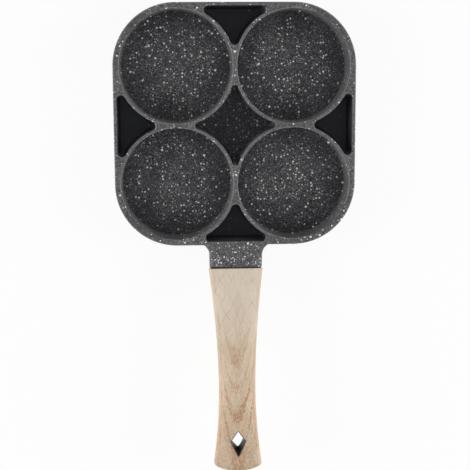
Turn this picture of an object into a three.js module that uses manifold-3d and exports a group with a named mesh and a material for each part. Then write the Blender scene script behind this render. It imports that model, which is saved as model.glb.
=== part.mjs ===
// Four-cup egg pan: a die-cast pan with four round cups, and a waisted wooden grip on its cast tang.
// Millimetres, +Z up. The origin is the middle of the base, where the pan stands. The handle runs along -Y.
import * as THREE from "three";
import { mergeVertices } from "three/addons/utils/BufferGeometryUtils.js";
import Module from "manifold-3d";

const wasm = await Module();
wasm.setup();

const degrees = THREE.MathUtils.degToRad;

// Cast pan: the cups set its overall size.
const CUP_LIP_RADIUS = 44.2;
const CUP_BRIDGE = 3.6; // metal between two neighbouring cups at the lip
const CORNER_WALL = 4.8; // metal between a cup's lip and the outside of its corner
const RING_WALL = 2.2; // metal between a cup and a pocket at the lip
const SIDE_WALL = 2.5; // metal between a pocket and the outside
const RIM_HEIGHT = 26;
const FLOOR_TOP = 4;
const RIM_EDGE_RADIUS = 1;
const BASE_EDGE_RADIUS = 6;
const BODY_DRAFT = degrees(4);
const CUP_DRAFT = degrees(1);
const CUP_FOOT_RADIUS = 1;
const POCKET_DRAFT = degrees(2.5);
const POCKET_FOOT_RADIUS = 2;
const CENTRE_TIP_RADIUS = 2.6;
const SIDE_TIP_RADIUS = 3.8;
const SIDE_CORNER_RADIUS = 3.5;
const LEAST_TIP_RADIUS = 0.25;

// Steel plate pressed into the base.
const PLATE_THICKNESS = 0.8;
const PLATE_PROUD = 0.3; // the pan stands on the plate
const PLATE_MARGIN = 12; // bare casting round the plate
const PERFORATION_PITCH = 20;
const PERFORATION_RADIUS = 4.5;

// Cast lug and the tang inside the grip.
const HANDLE_RISE = degrees(9);
const LUG_WIDTH = 42;
const LUG_HEIGHT = 18.4;
const LUG_LENGTH = 19;
const LUG_SIDE_FILLET = 10.5;
const LUG_UNDER_FILLET = 5;
const LUG_BELOW_RIM = 0.2; // the lug's top under the rim, at the outside of the wall
const CORE_WALL = 3.6; // metal left round the hollows under the lug
const CORE_ROOF = 5;
const CORE_RIB = 3;
const CORE_COUNT = 3;
const TANG_WIDTH = 18;
const TANG_THICKNESS = 6;
const TANG_LENGTH = 44; // from the front of the grip
const TANG_LIFT = 3; // middle of the tang above the middle of the lug

// Gasket and grip.
const GASKET_THICKNESS = 0.6;
const GASKET_INSET = 0.4;
const GRIP_PROUD = 0.7; // the grip stands out round the lug
const GRIP_LENGTH = 162.5;
const GRIP_FLATTEN = degrees(6); // how far the grip bends back towards level
const GRIP_WAIST_AT = 97;
const GRIP_WAIST_WIDTH = 29.3;
const GRIP_WAIST_HEIGHT = 18.6;
const GRIP_TAIL_WIDTH = 38.7;
const GRIP_TAIL_HEIGHT = 20.5;
const GRIP_SWELL = 1.8; // power of the swelling away from the waist
const GRIP_FRONT_CHAMFER = 0.8;
const TAIL_BOW_RADIUS = 50;
const TAIL_BOW_REACH = 40;
const TAIL_EDGE_RADIUS = 1;
const SECTION_POWER = 3.6; // of the rounded section of the lug's end, gasket and grip
const LUG_ROOT_POWER = 16; // a squarer section where the lug grows out of the wall

// Hanging hole and its liner.
const HOLE_FROM_TAIL = 23.6; // the widest place of the hole
const HOLE_WIDTH = 11.8;
const HOLE_FRONT = 8.4; // from the widest place to the tip towards the pan
const HOLE_BACK = 12.5; // from the widest place to the tip towards the tail, at both faces
const HOLE_WAIST_BACK = 6.4; // the same half way through, so that the tip leads a hook in
const HOLE_CORNER_RADIUS = 0.6;
const LINER_WALL = 0.5;
const LINER_RECESS = 0.15; // each end below the wood

// Two screws from below, each with a split washer and a flat washer.
const SCREWS_FROM_FRONT = { front: 14, rear: 34 };
const SCREW_RADIUS = 2.5;
const SCREW_HEAD_RADIUS = 4.6;
const SCREW_HEAD_HEIGHT = 2.8;
const SCREW_HEAD_EDGE = 1; // upright side of the domed head
const SCREW_TIP_CHAMFER = 0.6;
const RECESS_LENGTH = 5;
const RECESS_WIDTH = 1.1;
const RECESS_DEPTH = 1.5;
const LOCK_WASHER_RADIUS = 4.3;
const LOCK_WASHER_THICKNESS = 1.2;
const LOCK_WASHER_SPLIT = 0.8;
const LOCK_WASHER_SPLIT_LEAN = degrees(20);
const FLAT_WASHER_RADIUS = 5;
const FLAT_WASHER_THICKNESS = 1;
const SEAT_WOOD = 3.2; // wood between the flat washer and the tang
const FIT_GAP = 0.3; // between pieces that seat on or pass through each other

// How finely the round stretches are divided.
const CUP_STEPS = 40;
const CORNER_STEPS = 8;
const RING_STEPS = 6;
const TIP_STEPS = 3;
const EDGE_STEPS = 2;
const FOOT_STEPS = 3;
const SECTION_STEPS = 28;
const LUG_STATIONS = 6;
const GRIP_STATIONS = 12;
const SMALL_ROUND_STEPS = 16;
const PERFORATION_STEPS = 8;
const HOLE_STEPS = 8; // from half way through the hanging hole to a face
const OVERCUT = 2; // how far a cut runs past the surface it opens

// Sizes worked out from the values above.
const CUP_PITCH = 2 * CUP_LIP_RADIUS + CUP_BRIDGE;
const CORNER_RADIUS = CUP_LIP_RADIUS + CORNER_WALL;
const BODY_HALF = CUP_PITCH / 2 + CORNER_RADIUS;
const RING_RADIUS = CUP_LIP_RADIUS + RING_WALL;
const BASE_HALF = BODY_HALF - (RIM_HEIGHT - PLATE_PROUD) * Math.tan(BODY_DRAFT) - BASE_EDGE_RADIUS;
const PLATE_RADIUS = BASE_HALF - PLATE_MARGIN;
const LUG_UNDER_ROOM = RIM_HEIGHT - LUG_BELOW_RIM - LUG_HEIGHT - PLATE_PROUD - SIDE_WALL;
const GASKET_START = LUG_LENGTH + FIT_GAP;
const GRIP_START = GASKET_START + GASKET_THICKNESS + FIT_GAP;
const GRIP_BEND_RADIUS = GRIP_LENGTH / GRIP_FLATTEN;
const TANG_BOTTOM = TANG_LIFT - TANG_THICKNESS / 2;
const TANG_TOP = TANG_LIFT + TANG_THICKNESS / 2;
const SEAT_LEVEL = TANG_BOTTOM - FIT_GAP - SEAT_WOOD;
const FLAT_WASHER_TOP = SEAT_LEVEL - FIT_GAP;
const LOCK_WASHER_TOP = FLAT_WASHER_TOP - FLAT_WASHER_THICKNESS - FIT_GAP;
const SCREW_HEAD_TOP = LOCK_WASHER_TOP - LOCK_WASHER_THICKNESS - FIT_GAP;
const SCREW_BORE_RADIUS = SCREW_RADIUS + FIT_GAP;

const coating = new THREE.MeshStandardMaterial({ color: 0x4a4a4c, roughness: 0.55, metalness: 0.1 });
const wood = new THREE.MeshStandardMaterial({ color: 0xd2bfa3, roughness: 0.6, metalness: 0 });
const darkLiner = new THREE.MeshStandardMaterial({ color: 0x2b2a2a, roughness: 0.45, metalness: 0 });
const gasketRubber = new THREE.MeshStandardMaterial({ color: 0x2a211c, roughness: 0.85, metalness: 0 });
const plateSteel = new THREE.MeshStandardMaterial({ color: 0xa9abad, roughness: 0.4, metalness: 0.9 });
const screwSteel = new THREE.MeshStandardMaterial({ color: 0xb9bbbd, roughness: 0.3, metalness: 1 });

// Points along an arc, counter-clockwise where the angle grows and clockwise where it falls.
function arc(x, y, radius, from, to, steps) {
  return new THREE.EllipseCurve(x, y, radius, radius, from, to, to < from).getPoints(steps);
}

function turned(points, angle) {
  const origin = new THREE.Vector2();
  return points.map((point) => point.clone().rotateAround(origin, angle));
}

// Triangles across an outline of any shape.
function cap(outline) {
  return THREE.ShapeUtils.triangulateShape(outline, []);
}

// Triangles across an outline that mirrors itself about X and starts on X, in upright strips.
function stripCap(outline) {
  const count = outline.length;
  const triangles = [];
  for (let i = 0; i < count / 2; i++) {
    const below = count - i;
    if (i > 0) triangles.push([i, i + 1, below]);
    if (i < count / 2 - 1) triangles.push([i + 1, below - 1, below % count]);
  }
  return triangles;
}

// A closed surface through outlines of equally many points, each put in place by place(point, index).
function loft(outlines, place, capOf = cap) {
  const count = outlines[0].length;
  const last = outlines.length - 1;
  const positions = outlines.flatMap((outline, i) => outline.flatMap((point) => place(point, i).toArray()));
  const index = [];
  for (let i = 0; i < last; i++) {
    for (let j = 0; j < count; j++) {
      const next = (j + 1) % count;
      const low = i * count;
      const high = low + count;
      index.push(low + j, low + next, high + next, low + j, high + next, high + j);
    }
  }
  for (const [a, b, c] of capOf(outlines[0])) index.push(a, c, b);
  const top = last * count;
  for (const [a, b, c] of capOf(outlines[last])) index.push(top + a, top + b, top + c);
  const geometry = new THREE.BufferGeometry();
  geometry.setAttribute("position", new THREE.Float32BufferAttribute(positions, 3));
  geometry.setIndex(index);
  return geometry;
}

// A geometry as a solid that can be joined and cut.
function solid(geometry) {
  const bare = geometry.clone();
  bare.deleteAttribute("normal");
  bare.deleteAttribute("uv");
  const merged = mergeVertices(bare);
  const triangles = [];
  for (let i = 0; i < merged.index.count; i += 3) {
    const corners = [0, 1, 2].map((k) => merged.index.getX(i + k));
    if (new Set(corners).size === 3) triangles.push(...corners);
  }
  return new wasm.Manifold(
    new wasm.Mesh({
      numProp: 3,
      vertProperties: new Float32Array(merged.attributes.position.array),
      triVerts: new Uint32Array(triangles),
    }),
  );
}

function geometryOf(body) {
  const mesh = body.getMesh();
  const indexed = new THREE.BufferGeometry();
  indexed.setAttribute("position", new THREE.BufferAttribute(mesh.vertProperties, 3));
  indexed.setIndex(new THREE.BufferAttribute(mesh.triVerts, 1));
  const faceted = indexed.toNonIndexed();
  faceted.computeVertexNormals();
  return faceted;
}

// A round body about Y from a profile of [radius, height] pairs that runs upwards on its outside.
function round(profile, steps) {
  const points = profile.map(([radius, height]) => new THREE.Vector2(radius, height));
  return new THREE.LatheGeometry(points, steps);
}

function disc(radius, bottom, top, steps) {
  return round([[0, bottom], [radius, bottom], [radius, top], [0, top]], steps);
}

// A box between two corners.
function block(low, high) {
  const size = high.map((value, axis) => value - low[axis]);
  const centre = high.map((value, axis) => (value + low[axis]) / 2);
  return new THREE.BoxGeometry(...size).translate(...centre);
}

function piece(parent, name, geometry, material) {
  const mesh = new THREE.Mesh(geometry, material);
  mesh.name = name;
  parent.add(mesh);
}

// The frame of the handle: X across, Y up out of the grip, Z along the handle away from the pan.
const handleFrame = new THREE.Group();
handleFrame.position.set(
  0,
  -BODY_HALF,
  RIM_HEIGHT - LUG_BELOW_RIM - (LUG_HEIGHT / 2) * Math.cos(HANDLE_RISE),
);
handleFrame.rotation.x = Math.PI / 2 - HANDLE_RISE;
handleFrame.updateMatrix();

// The side of a cup or pocket as [inset, height] pairs, from the floor up to above the rounded rim.
function cavityProfile(draft, footRadius) {
  const footInset = (RIM_HEIGHT - FLOOR_TOP) * Math.tan(draft);
  const footX = footInset + footRadius;
  const foot = arc(footX, FLOOR_TOP + footRadius, footRadius, 1.5 * Math.PI, Math.PI, FOOT_STEPS);
  const rimEdge = RIM_EDGE_RADIUS;
  const rim = arc(-rimEdge, RIM_HEIGHT - rimEdge, rimEdge, 0, Math.PI / 2, EDGE_STEPS);
  const above = new THREE.Vector2(-rimEdge, RIM_HEIGHT + OVERCUT);
  return [...foot, ...rim, above].map((point) => [point.x, point.y]);
}

// The round hollow of one cup, about Y.
function cupHollow() {
  const side = cavityProfile(CUP_DRAFT, CUP_FOOT_RADIUS);
  const wall = side.map(([inset, height]) => [CUP_LIP_RADIUS - inset, height]);
  return round([[0, FLOOR_TOP], ...wall, [0, RIM_HEIGHT + OVERCUT]], CUP_STEPS);
}

function tipRadius(radius, inset) {
  return Math.max(radius - inset, LEAST_TIP_RADIUS);
}

// The star between the four cups: four arcs round the rings and four rounded tips.
function centrePocketOutline(inset) {
  const ring = RING_RADIUS + inset;
  const tip = tipRadius(CENTRE_TIP_RADIUS, inset);
  const cup = CUP_PITCH / 2;
  const tipCentre = cup - Math.sqrt((ring + tip) ** 2 - cup ** 2);
  const lean = Math.atan2(cup, cup - tipCentre);
  const quarter = [
    ...arc(tipCentre, 0, tip, -lean, lean, TIP_STEPS).slice(0, -1),
    ...arc(cup, cup, ring, Math.PI + lean, 1.5 * Math.PI - lean, RING_STEPS).slice(0, -1),
  ];
  return [0, 1, 2, 3].flatMap((turn) => turned(quarter, (turn * Math.PI) / 2));
}

// The three-cornered pocket between two cups and the wall on the +X side.
function sidePocketOutline(inset) {
  const ring = RING_RADIUS + inset;
  const tip = tipRadius(SIDE_TIP_RADIUS, inset);
  const corner = tipRadius(SIDE_CORNER_RADIUS, inset);
  const cup = CUP_PITCH / 2;
  const cornerX = BODY_HALF - SIDE_WALL - inset - corner;
  const cornerY = cup - Math.sqrt((ring + corner) ** 2 - (cornerX - cup) ** 2);
  const cornerLean = Math.atan2(cup - cornerY, cornerX - cup);
  const tipCentre = cup + Math.sqrt((ring + tip) ** 2 - cup ** 2);
  const tipLean = Math.atan2(cup, tipCentre - cup);
  return [
    ...arc(cornerX, -cornerY, corner, cornerLean - Math.PI, 0, TIP_STEPS),
    ...arc(cornerX, cornerY, corner, 0, Math.PI - cornerLean, TIP_STEPS),
    ...arc(cup, cup, ring, -cornerLean, -tipLean, RING_STEPS).slice(1),
    ...arc(tipCentre, 0, tip, Math.PI - tipLean, Math.PI + tipLean, TIP_STEPS).slice(1),
    ...arc(cup, -cup, ring, tipLean, cornerLean, RING_STEPS).slice(1, -1),
  ];
}

function pocketHollow(outlineAt) {
  const side = cavityProfile(POCKET_DRAFT, POCKET_FOOT_RADIUS);
  const outlines = side.map(([inset]) => outlineAt(inset));
  return loft(outlines, (point, i) => new THREE.Vector3(point.x, point.y, side[i][1]));
}

// The outside of the pan: a rounded square with its corners concentric with the cups.
function bodyOutline(inset) {
  const cup = CUP_PITCH / 2;
  const corner = arc(cup, cup, CORNER_RADIUS - inset, 0, Math.PI / 2, CORNER_STEPS);
  return [0, 1, 2, 3].flatMap((turn) => turned(corner, (turn * Math.PI) / 2));
}

function body() {
  const baseInset = BODY_HALF - BASE_HALF;
  const baseEdge = BASE_EDGE_RADIUS;
  const base = arc(baseInset, PLATE_PROUD + baseEdge, baseEdge, 1.5 * Math.PI, Math.PI, FOOT_STEPS);
  const rimEdge = RIM_EDGE_RADIUS;
  const rim = arc(rimEdge, RIM_HEIGHT - rimEdge, rimEdge, Math.PI, Math.PI / 2, EDGE_STEPS);
  const side = [...base, ...rim];
  const outlines = side.map((point) => bodyOutline(point.x));
  return loft(outlines, (point, i) => new THREE.Vector3(point.x, point.y, side[i].y));
}

// A section of the handle, a rectangle with round corners, the squarer the greater its power.
function section(width, height, power = SECTION_POWER) {
  const roundOff = (value) => Math.sign(value) * Math.abs(value) ** (2 / power);
  return Array.from({ length: SECTION_STEPS }, (_, i) => {
    const angle = (i / SECTION_STEPS) * 2 * Math.PI;
    const x = (width / 2) * roundOff(Math.cos(angle));
    const y = (height / 2) * roundOff(Math.sin(angle));
    return new THREE.Vector2(x, y);
  });
}

// How far a fillet of this radius stands out at this distance from its root.
function flare(radius, distance) {
  const left = Math.max(radius - distance, 0);
  return radius - Math.sqrt(radius ** 2 - left ** 2);
}

// The lug, flared where it grows out of the wall at the sides and below. Its sections lie along the wall
// at the root and turn square to the handle at the end, about the edge of the lug's top.
function lug() {
  const underFillet = THREE.MathUtils.clamp(LUG_UNDER_ROOM, 0, LUG_UNDER_FILLET);
  const flareReach = Math.max(LUG_SIDE_FILLET, underFillet);
  const stations = [-SIDE_WALL];
  for (let i = 0; i <= LUG_STATIONS; i++) {
    const angle = ((i / LUG_STATIONS) * Math.PI) / 2;
    stations.push(flareReach * (1 - Math.cos(angle)));
  }
  stations.push(LUG_LENGTH);
  const underFlares = stations.map((along) => flare(underFillet, Math.max(along, 0)));
  const outlines = stations.map((along, i) => {
    const sideFlare = flare(LUG_SIDE_FILLET, Math.max(along, 0));
    const power = THREE.MathUtils.lerp(LUG_ROOT_POWER, SECTION_POWER, Math.max(along, 0) / LUG_LENGTH);
    return section(LUG_WIDTH + 2 * sideFlare, LUG_HEIGHT + underFlares[i], power);
  });
  return loft(outlines, (point, i) => {
    const along = stations[i];
    const lean = Math.tan(HANDLE_RISE + BODY_DRAFT) * (1 - along / LUG_LENGTH);
    const y = point.y - underFlares[i] / 2;
    return new THREE.Vector3(point.x, y, along + (y - LUG_HEIGHT / 2) * lean);
  });
}

// The hollows that the casting die leaves under the lug, side by side with ribs between them.
function lugCores() {
  const inside = LUG_WIDTH - 2 * CORE_WALL;
  const width = (inside - (CORE_COUNT - 1) * CORE_RIB) / CORE_COUNT;
  const top = LUG_HEIGHT / 2 - CORE_ROOF;
  return Array.from({ length: CORE_COUNT }, (_, i) => {
    const left = -inside / 2 + i * (width + CORE_RIB);
    return block([left, -LUG_HEIGHT, CORE_WALL], [left + width, top, LUG_LENGTH - CORE_WALL]);
  });
}

function tang() {
  return block(
    [-TANG_WIDTH / 2, TANG_BOTTOM, LUG_LENGTH - CORE_WALL / 2],
    [TANG_WIDTH / 2, TANG_TOP, GRIP_START + TANG_LENGTH],
  );
}

function screwHole(fromFront) {
  return disc(SCREW_BORE_RADIUS, TANG_BOTTOM - OVERCUT, TANG_TOP + OVERCUT, SMALL_ROUND_STEPS)
    .translate(0, 0, GRIP_START + fromFront);
}

function panCasting() {
  const inPan = (geometry) => solid(geometry.applyMatrix4(handleFrame.matrix));
  let casting = solid(body()).add(inPan(lug())).add(inPan(tang()));
  const cup = CUP_PITCH / 2;
  for (const x of [-cup, cup]) {
    for (const y of [-cup, cup]) {
      casting = casting.subtract(solid(cupHollow().rotateX(Math.PI / 2).translate(x, y, 0)));
    }
  }
  casting = casting.subtract(solid(pocketHollow(centrePocketOutline)));
  for (let turn = 0; turn < 4; turn++) {
    casting = casting.subtract(solid(pocketHollow(sidePocketOutline).rotateZ((turn * Math.PI) / 2)));
  }
  for (const core of lugCores()) casting = casting.subtract(inPan(core));
  for (const fromFront of Object.values(SCREWS_FROM_FRONT)) {
    casting = casting.subtract(inPan(screwHole(fromFront)));
  }
  const recess = disc(PLATE_RADIUS + FIT_GAP, -OVERCUT, PLATE_THICKNESS + FIT_GAP, CUP_STEPS);
  return geometryOf(casting.subtract(solid(recess.rotateX(Math.PI / 2))));
}

// A round plate with rings of holes, six more in each ring outwards.
function inductionPlate() {
  const outline = new THREE.Shape().absarc(0, 0, PLATE_RADIUS, 0, 2 * Math.PI);
  const rings = Math.floor((PLATE_RADIUS - 2 * PERFORATION_RADIUS) / PERFORATION_PITCH);
  const holes = [];
  for (let ring = 1; ring <= rings; ring++) {
    for (let i = 0; i < 6 * ring; i++) {
      const angle = (i / (6 * ring)) * 2 * Math.PI;
      const x = ring * PERFORATION_PITCH * Math.cos(angle);
      const y = ring * PERFORATION_PITCH * Math.sin(angle);
      holes.push(arc(x, y, PERFORATION_RADIUS, 2 * Math.PI, 0, PERFORATION_STEPS).slice(0, -1));
    }
  }
  outline.holes = holes.map((points) => new THREE.Path(points));
  return new THREE.ExtrudeGeometry(outline, {
    depth: PLATE_THICKNESS,
    bevelEnabled: false,
    curveSegments: CUP_STEPS / 2,
  });
}

function heatGasket() {
  const outline = section(LUG_WIDTH - 2 * GASKET_INSET, LUG_HEIGHT - 2 * GASKET_INSET);
  const ends = [GASKET_START, GASKET_START + GASKET_THICKNESS];
  const plate = loft([outline, outline], (point, i) => new THREE.Vector3(point.x, point.y, ends[i]));
  return geometryOf(solid(plate).subtract(solid(tangSlot(GASKET_START - OVERCUT, GRIP_START))));
}

// The room round the tang between two places along the handle.
function tangSlot(from, to) {
  return block(
    [-TANG_WIDTH / 2 - FIT_GAP, TANG_BOTTOM - FIT_GAP, from],
    [TANG_WIDTH / 2 + FIT_GAP, TANG_TOP + FIT_GAP, to],
  );
}

// The size of the grip at a distance along it, between its front, its waist and its tail.
function gripSize(along) {
  const pastWaist = along > GRIP_WAIST_AT;
  const run = pastWaist ? GRIP_LENGTH - GRIP_WAIST_AT : GRIP_WAIST_AT;
  const share = Math.abs((along - GRIP_WAIST_AT) / run) ** GRIP_SWELL;
  const endWidth = pastWaist ? GRIP_TAIL_WIDTH : LUG_WIDTH + 2 * GRIP_PROUD;
  const endHeight = pastWaist ? GRIP_TAIL_HEIGHT : LUG_HEIGHT + 2 * GRIP_PROUD;
  return {
    width: THREE.MathUtils.lerp(GRIP_WAIST_WIDTH, endWidth, share),
    height: THREE.MathUtils.lerp(GRIP_WAIST_HEIGHT, endHeight, share),
  };
}

// A frame on the bent middle line of the grip: X across, Y up out of the grip, Z along it.
function gripFrame(along) {
  const angle = along / GRIP_BEND_RADIUS;
  const drop = GRIP_BEND_RADIUS * (1 - Math.cos(angle));
  const frame = new THREE.Group();
  frame.position.set(0, -drop, GRIP_START + GRIP_BEND_RADIUS * Math.sin(angle));
  frame.rotation.x = angle;
  frame.updateMatrix();
  return frame;
}

// How far the bowed tail draws a point of the grip back towards the pan.
function tailBow(across, along) {
  const reach = THREE.MathUtils.smoothstep(along, GRIP_LENGTH - TAIL_BOW_REACH, GRIP_LENGTH);
  return reach * (TAIL_BOW_RADIUS - Math.sqrt(TAIL_BOW_RADIUS ** 2 - across ** 2));
}

function gripBlank() {
  const stations = [{ along: 0, inset: GRIP_FRONT_CHAMFER }];
  const tailStart = GRIP_LENGTH - TAIL_EDGE_RADIUS;
  for (let i = 0; i < GRIP_STATIONS; i++) {
    const along = THREE.MathUtils.lerp(GRIP_FRONT_CHAMFER, tailStart, i / GRIP_STATIONS);
    stations.push({ along, inset: 0 });
  }
  for (const point of arc(0, 0, TAIL_EDGE_RADIUS, 0, Math.PI / 2, EDGE_STEPS)) {
    stations.push({ along: tailStart + point.y, inset: TAIL_EDGE_RADIUS - point.x });
  }
  const outlines = stations.map(({ along, inset }) => {
    const { width, height } = gripSize(along);
    return section(width - 2 * inset, height - 2 * inset);
  });
  const place = (point, i) => {
    const along = stations[i].along - tailBow(point.x, stations[i].along);
    return new THREE.Vector3(point.x, point.y, 0).applyMatrix4(gripFrame(along).matrix);
  };
  return loft(outlines, place, stripCap);
}

// A kite with round corners and its front tip along +Y, moved outward by grow with its corner centres kept.
function kite(grow, back) {
  const half = HOLE_WIDTH / 2;
  const inset = HOLE_CORNER_RADIUS;
  const radius = inset + grow;
  const frontEdge = Math.hypot(HOLE_FRONT, half);
  const backEdge = Math.hypot(back, half);
  const frontLean = Math.atan2(half, HOLE_FRONT);
  const backLean = Math.atan2(half, back);
  const frontY = HOLE_FRONT - (inset * frontEdge) / half;
  const backY = (inset * backEdge) / half - back;
  const sideX = half - (inset * (frontEdge + backEdge)) / (HOLE_FRONT + back);
  const sideY = frontY - (HOLE_FRONT * sideX) / half;
  return [
    ...arc(sideX, sideY, radius, -backLean, frontLean, TIP_STEPS),
    ...arc(0, frontY, radius, frontLean, Math.PI - frontLean, TIP_STEPS),
    ...arc(-sideX, sideY, radius, Math.PI - frontLean, Math.PI + backLean, TIP_STEPS),
    ...arc(0, backY, radius, Math.PI + backLean, 2 * Math.PI - backLean, TIP_STEPS),
  ];
}

const holeFrame = gripFrame(GRIP_LENGTH - HOLE_FROM_TAIL);
const holeDepth = gripSize(GRIP_LENGTH - HOLE_FROM_TAIL).height;

// A body along Y through kites on both sides of the grip's middle line, where its back tip draws in.
function kiteBody(grow, reach) {
  const heights = [-reach];
  for (let i = 1 - HOLE_STEPS; i < HOLE_STEPS; i++) heights.push((i / HOLE_STEPS) * (holeDepth / 2));
  heights.push(reach);
  const outlines = heights.map((height) => {
    const fromWaist = Math.abs(height) / (holeDepth / 2);
    return kite(grow, THREE.MathUtils.lerp(HOLE_WAIST_BACK, HOLE_BACK, fromWaist));
  });
  return solid(loft(outlines, (point, i) => new THREE.Vector3(point.x, heights[i], -point.y)));
}

function grip() {
  let wooden = solid(gripBlank()).subtract(solid(tangSlot(0, GRIP_START + TANG_LENGTH + FIT_GAP)));
  const hole = kiteBody(LINER_WALL + FIT_GAP, holeDepth / 2 + OVERCUT);
  wooden = wooden.subtract(hole.transform(holeFrame.matrix.toArray()));
  for (const fromFront of Object.values(SCREWS_FROM_FRONT)) {
    const along = GRIP_START + fromFront;
    const bore = disc(SCREW_BORE_RADIUS, SEAT_LEVEL - OVERCUT, TANG_BOTTOM, SMALL_ROUND_STEPS);
    const counterbore = disc(FLAT_WASHER_RADIUS + FIT_GAP, -LUG_HEIGHT, SEAT_LEVEL, SMALL_ROUND_STEPS);
    for (const cut of [bore, counterbore]) wooden = wooden.subtract(solid(cut.translate(0, 0, along)));
  }
  return geometryOf(wooden);
}

function hangHoleLiner() {
  const outside = kiteBody(LINER_WALL, holeDepth / 2 - LINER_RECESS);
  return geometryOf(outside.subtract(kiteBody(0, holeDepth / 2)));
}

// A domed screw with a cross recess in its head, about Y with the head down.
function handleScrew() {
  const headBottom = SCREW_HEAD_TOP - SCREW_HEAD_HEIGHT;
  const dome = SCREW_HEAD_HEIGHT - SCREW_HEAD_EDGE;
  const domeSide = arc(0, 0, 1, 1.5 * Math.PI, 2 * Math.PI, EDGE_STEPS + 1)
    .map((point) => [SCREW_HEAD_RADIUS * point.x, headBottom + dome * (1 + point.y)]);
  const shank = [
    [SCREW_HEAD_RADIUS, SCREW_HEAD_TOP],
    [SCREW_RADIUS, SCREW_HEAD_TOP],
    [SCREW_RADIUS, TANG_TOP - SCREW_TIP_CHAMFER],
    [SCREW_RADIUS - SCREW_TIP_CHAMFER, TANG_TOP],
    [0, TANG_TOP],
  ];
  let screw = solid(round([[0, headBottom], ...domeSide.slice(1), ...shank], SMALL_ROUND_STEPS));
  const half = [RECESS_LENGTH / 2, RECESS_WIDTH / 2];
  for (const [x, z] of [half, half.toReversed()]) {
    const slot = block([-x, headBottom - OVERCUT, -z], [x, headBottom + RECESS_DEPTH, z]);
    screw = screw.subtract(solid(slot));
  }
  return geometryOf(screw);
}

function washer(radius, top, thickness) {
  const bore = SCREW_BORE_RADIUS;
  const bottom = top - thickness;
  const profile = [[bore, bottom], [radius, bottom], [radius, top], [bore, top], [bore, bottom]];
  return round(profile, SMALL_ROUND_STEPS);
}

// A ring cut through on one side at a lean.
function lockWasher() {
  const ring = washer(LOCK_WASHER_RADIUS, LOCK_WASHER_TOP, LOCK_WASHER_THICKNESS);
  const split = block(
    [0, -LOCK_WASHER_THICKNESS - OVERCUT, -LOCK_WASHER_SPLIT / 2],
    [LOCK_WASHER_RADIUS + OVERCUT, LOCK_WASHER_THICKNESS + OVERCUT, LOCK_WASHER_SPLIT / 2],
  );
  split.rotateX(LOCK_WASHER_SPLIT_LEAN).translate(0, LOCK_WASHER_TOP - LOCK_WASHER_THICKNESS / 2, 0);
  return geometryOf(solid(ring).subtract(solid(split)));
}

const eggPan = new THREE.Group();
eggPan.add(handleFrame);
handleFrame.add(holeFrame);

piece(eggPan, "pan_casting", panCasting(), coating);
piece(eggPan, "induction_plate", inductionPlate(), plateSteel);
piece(handleFrame, "heat_gasket", heatGasket(), gasketRubber);
piece(handleFrame, "grip", grip(), wood);
piece(holeFrame, "hang_hole_liner", hangHoleLiner(), darkLiner);
for (const [place, fromFront] of Object.entries(SCREWS_FROM_FRONT)) {
  const screwFrame = new THREE.Group();
  screwFrame.position.z = GRIP_START + fromFront;
  handleFrame.add(screwFrame);
  piece(screwFrame, `handle_screw_${place}`, handleScrew(), screwSteel);
  piece(screwFrame, `lock_washer_${place}`, lockWasher(), screwSteel);
  const flatWasher = washer(FLAT_WASHER_RADIUS, FLAT_WASHER_TOP, FLAT_WASHER_THICKNESS);
  piece(screwFrame, `flat_washer_${place}`, flatWasher, screwSteel);
}

export default eggPan;
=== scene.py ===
"""Four-cup egg pan: the looks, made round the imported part. Metres, +Z up, the handle along -Y."""

from math import atan2, copysign, cos, hypot, pi, radians, sin, sqrt, tan

import bmesh
import bpy
from mathutils import Matrix, Vector


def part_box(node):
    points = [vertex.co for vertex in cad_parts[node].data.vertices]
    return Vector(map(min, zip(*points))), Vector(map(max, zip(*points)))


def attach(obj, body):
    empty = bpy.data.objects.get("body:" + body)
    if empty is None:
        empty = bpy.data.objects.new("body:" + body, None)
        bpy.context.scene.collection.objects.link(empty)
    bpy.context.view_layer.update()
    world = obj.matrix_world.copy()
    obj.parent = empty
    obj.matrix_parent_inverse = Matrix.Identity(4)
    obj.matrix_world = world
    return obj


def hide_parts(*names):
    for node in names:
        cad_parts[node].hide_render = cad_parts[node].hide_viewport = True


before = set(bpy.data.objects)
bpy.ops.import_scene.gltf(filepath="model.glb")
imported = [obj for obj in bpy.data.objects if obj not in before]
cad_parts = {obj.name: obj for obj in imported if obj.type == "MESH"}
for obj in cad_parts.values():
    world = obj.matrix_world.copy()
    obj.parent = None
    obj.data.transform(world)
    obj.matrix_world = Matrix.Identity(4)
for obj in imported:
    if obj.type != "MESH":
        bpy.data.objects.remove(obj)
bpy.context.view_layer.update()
scene = bpy.context.scene

# The camera, as it stood for the photograph.
CAMERA_PLACE = (-0.05285, 0.05295, 0.8878)
CAMERA_TURNS = {"X": -9.219, "Y": -3.416, "Z": -0.841}  # degrees
CAMERA_LENS = 84.12  # millimetres, like the next
CAMERA_SENSOR = 36

# The cast pan.
BODY_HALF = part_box("pan_casting")[1].x
CUP_LIP_RADIUS = 0.0442
CUP_OFFSET = 0.046  # a cup's middle from the pan's middle, along X and along Y
CORNER_RADIUS = BODY_HALF - CUP_OFFSET
RING_WALL = 0.0022
RING_RADIUS = CUP_LIP_RADIUS + RING_WALL
SIDE_WALL = 0.0025
RIM_HEIGHT = 0.026
FLOOR_TOP = 0.004
RIM_EDGE_RADIUS = 0.001
BASE_EDGE_RADIUS = 0.006
BODY_DRAFT = radians(4)
CUP_DRAFT = radians(1)
CUP_FOOT_RADIUS = 0.001
POCKET_DRAFT = radians(2.5)
POCKET_FOOT_RADIUS = 0.002
CENTRE_TIP_RADIUS = 0.0026
SIDE_TIP_RADIUS = 0.0038
SIDE_CORNER_RADIUS = 0.0035
LEAST_TIP_RADIUS = 0.00025

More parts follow.
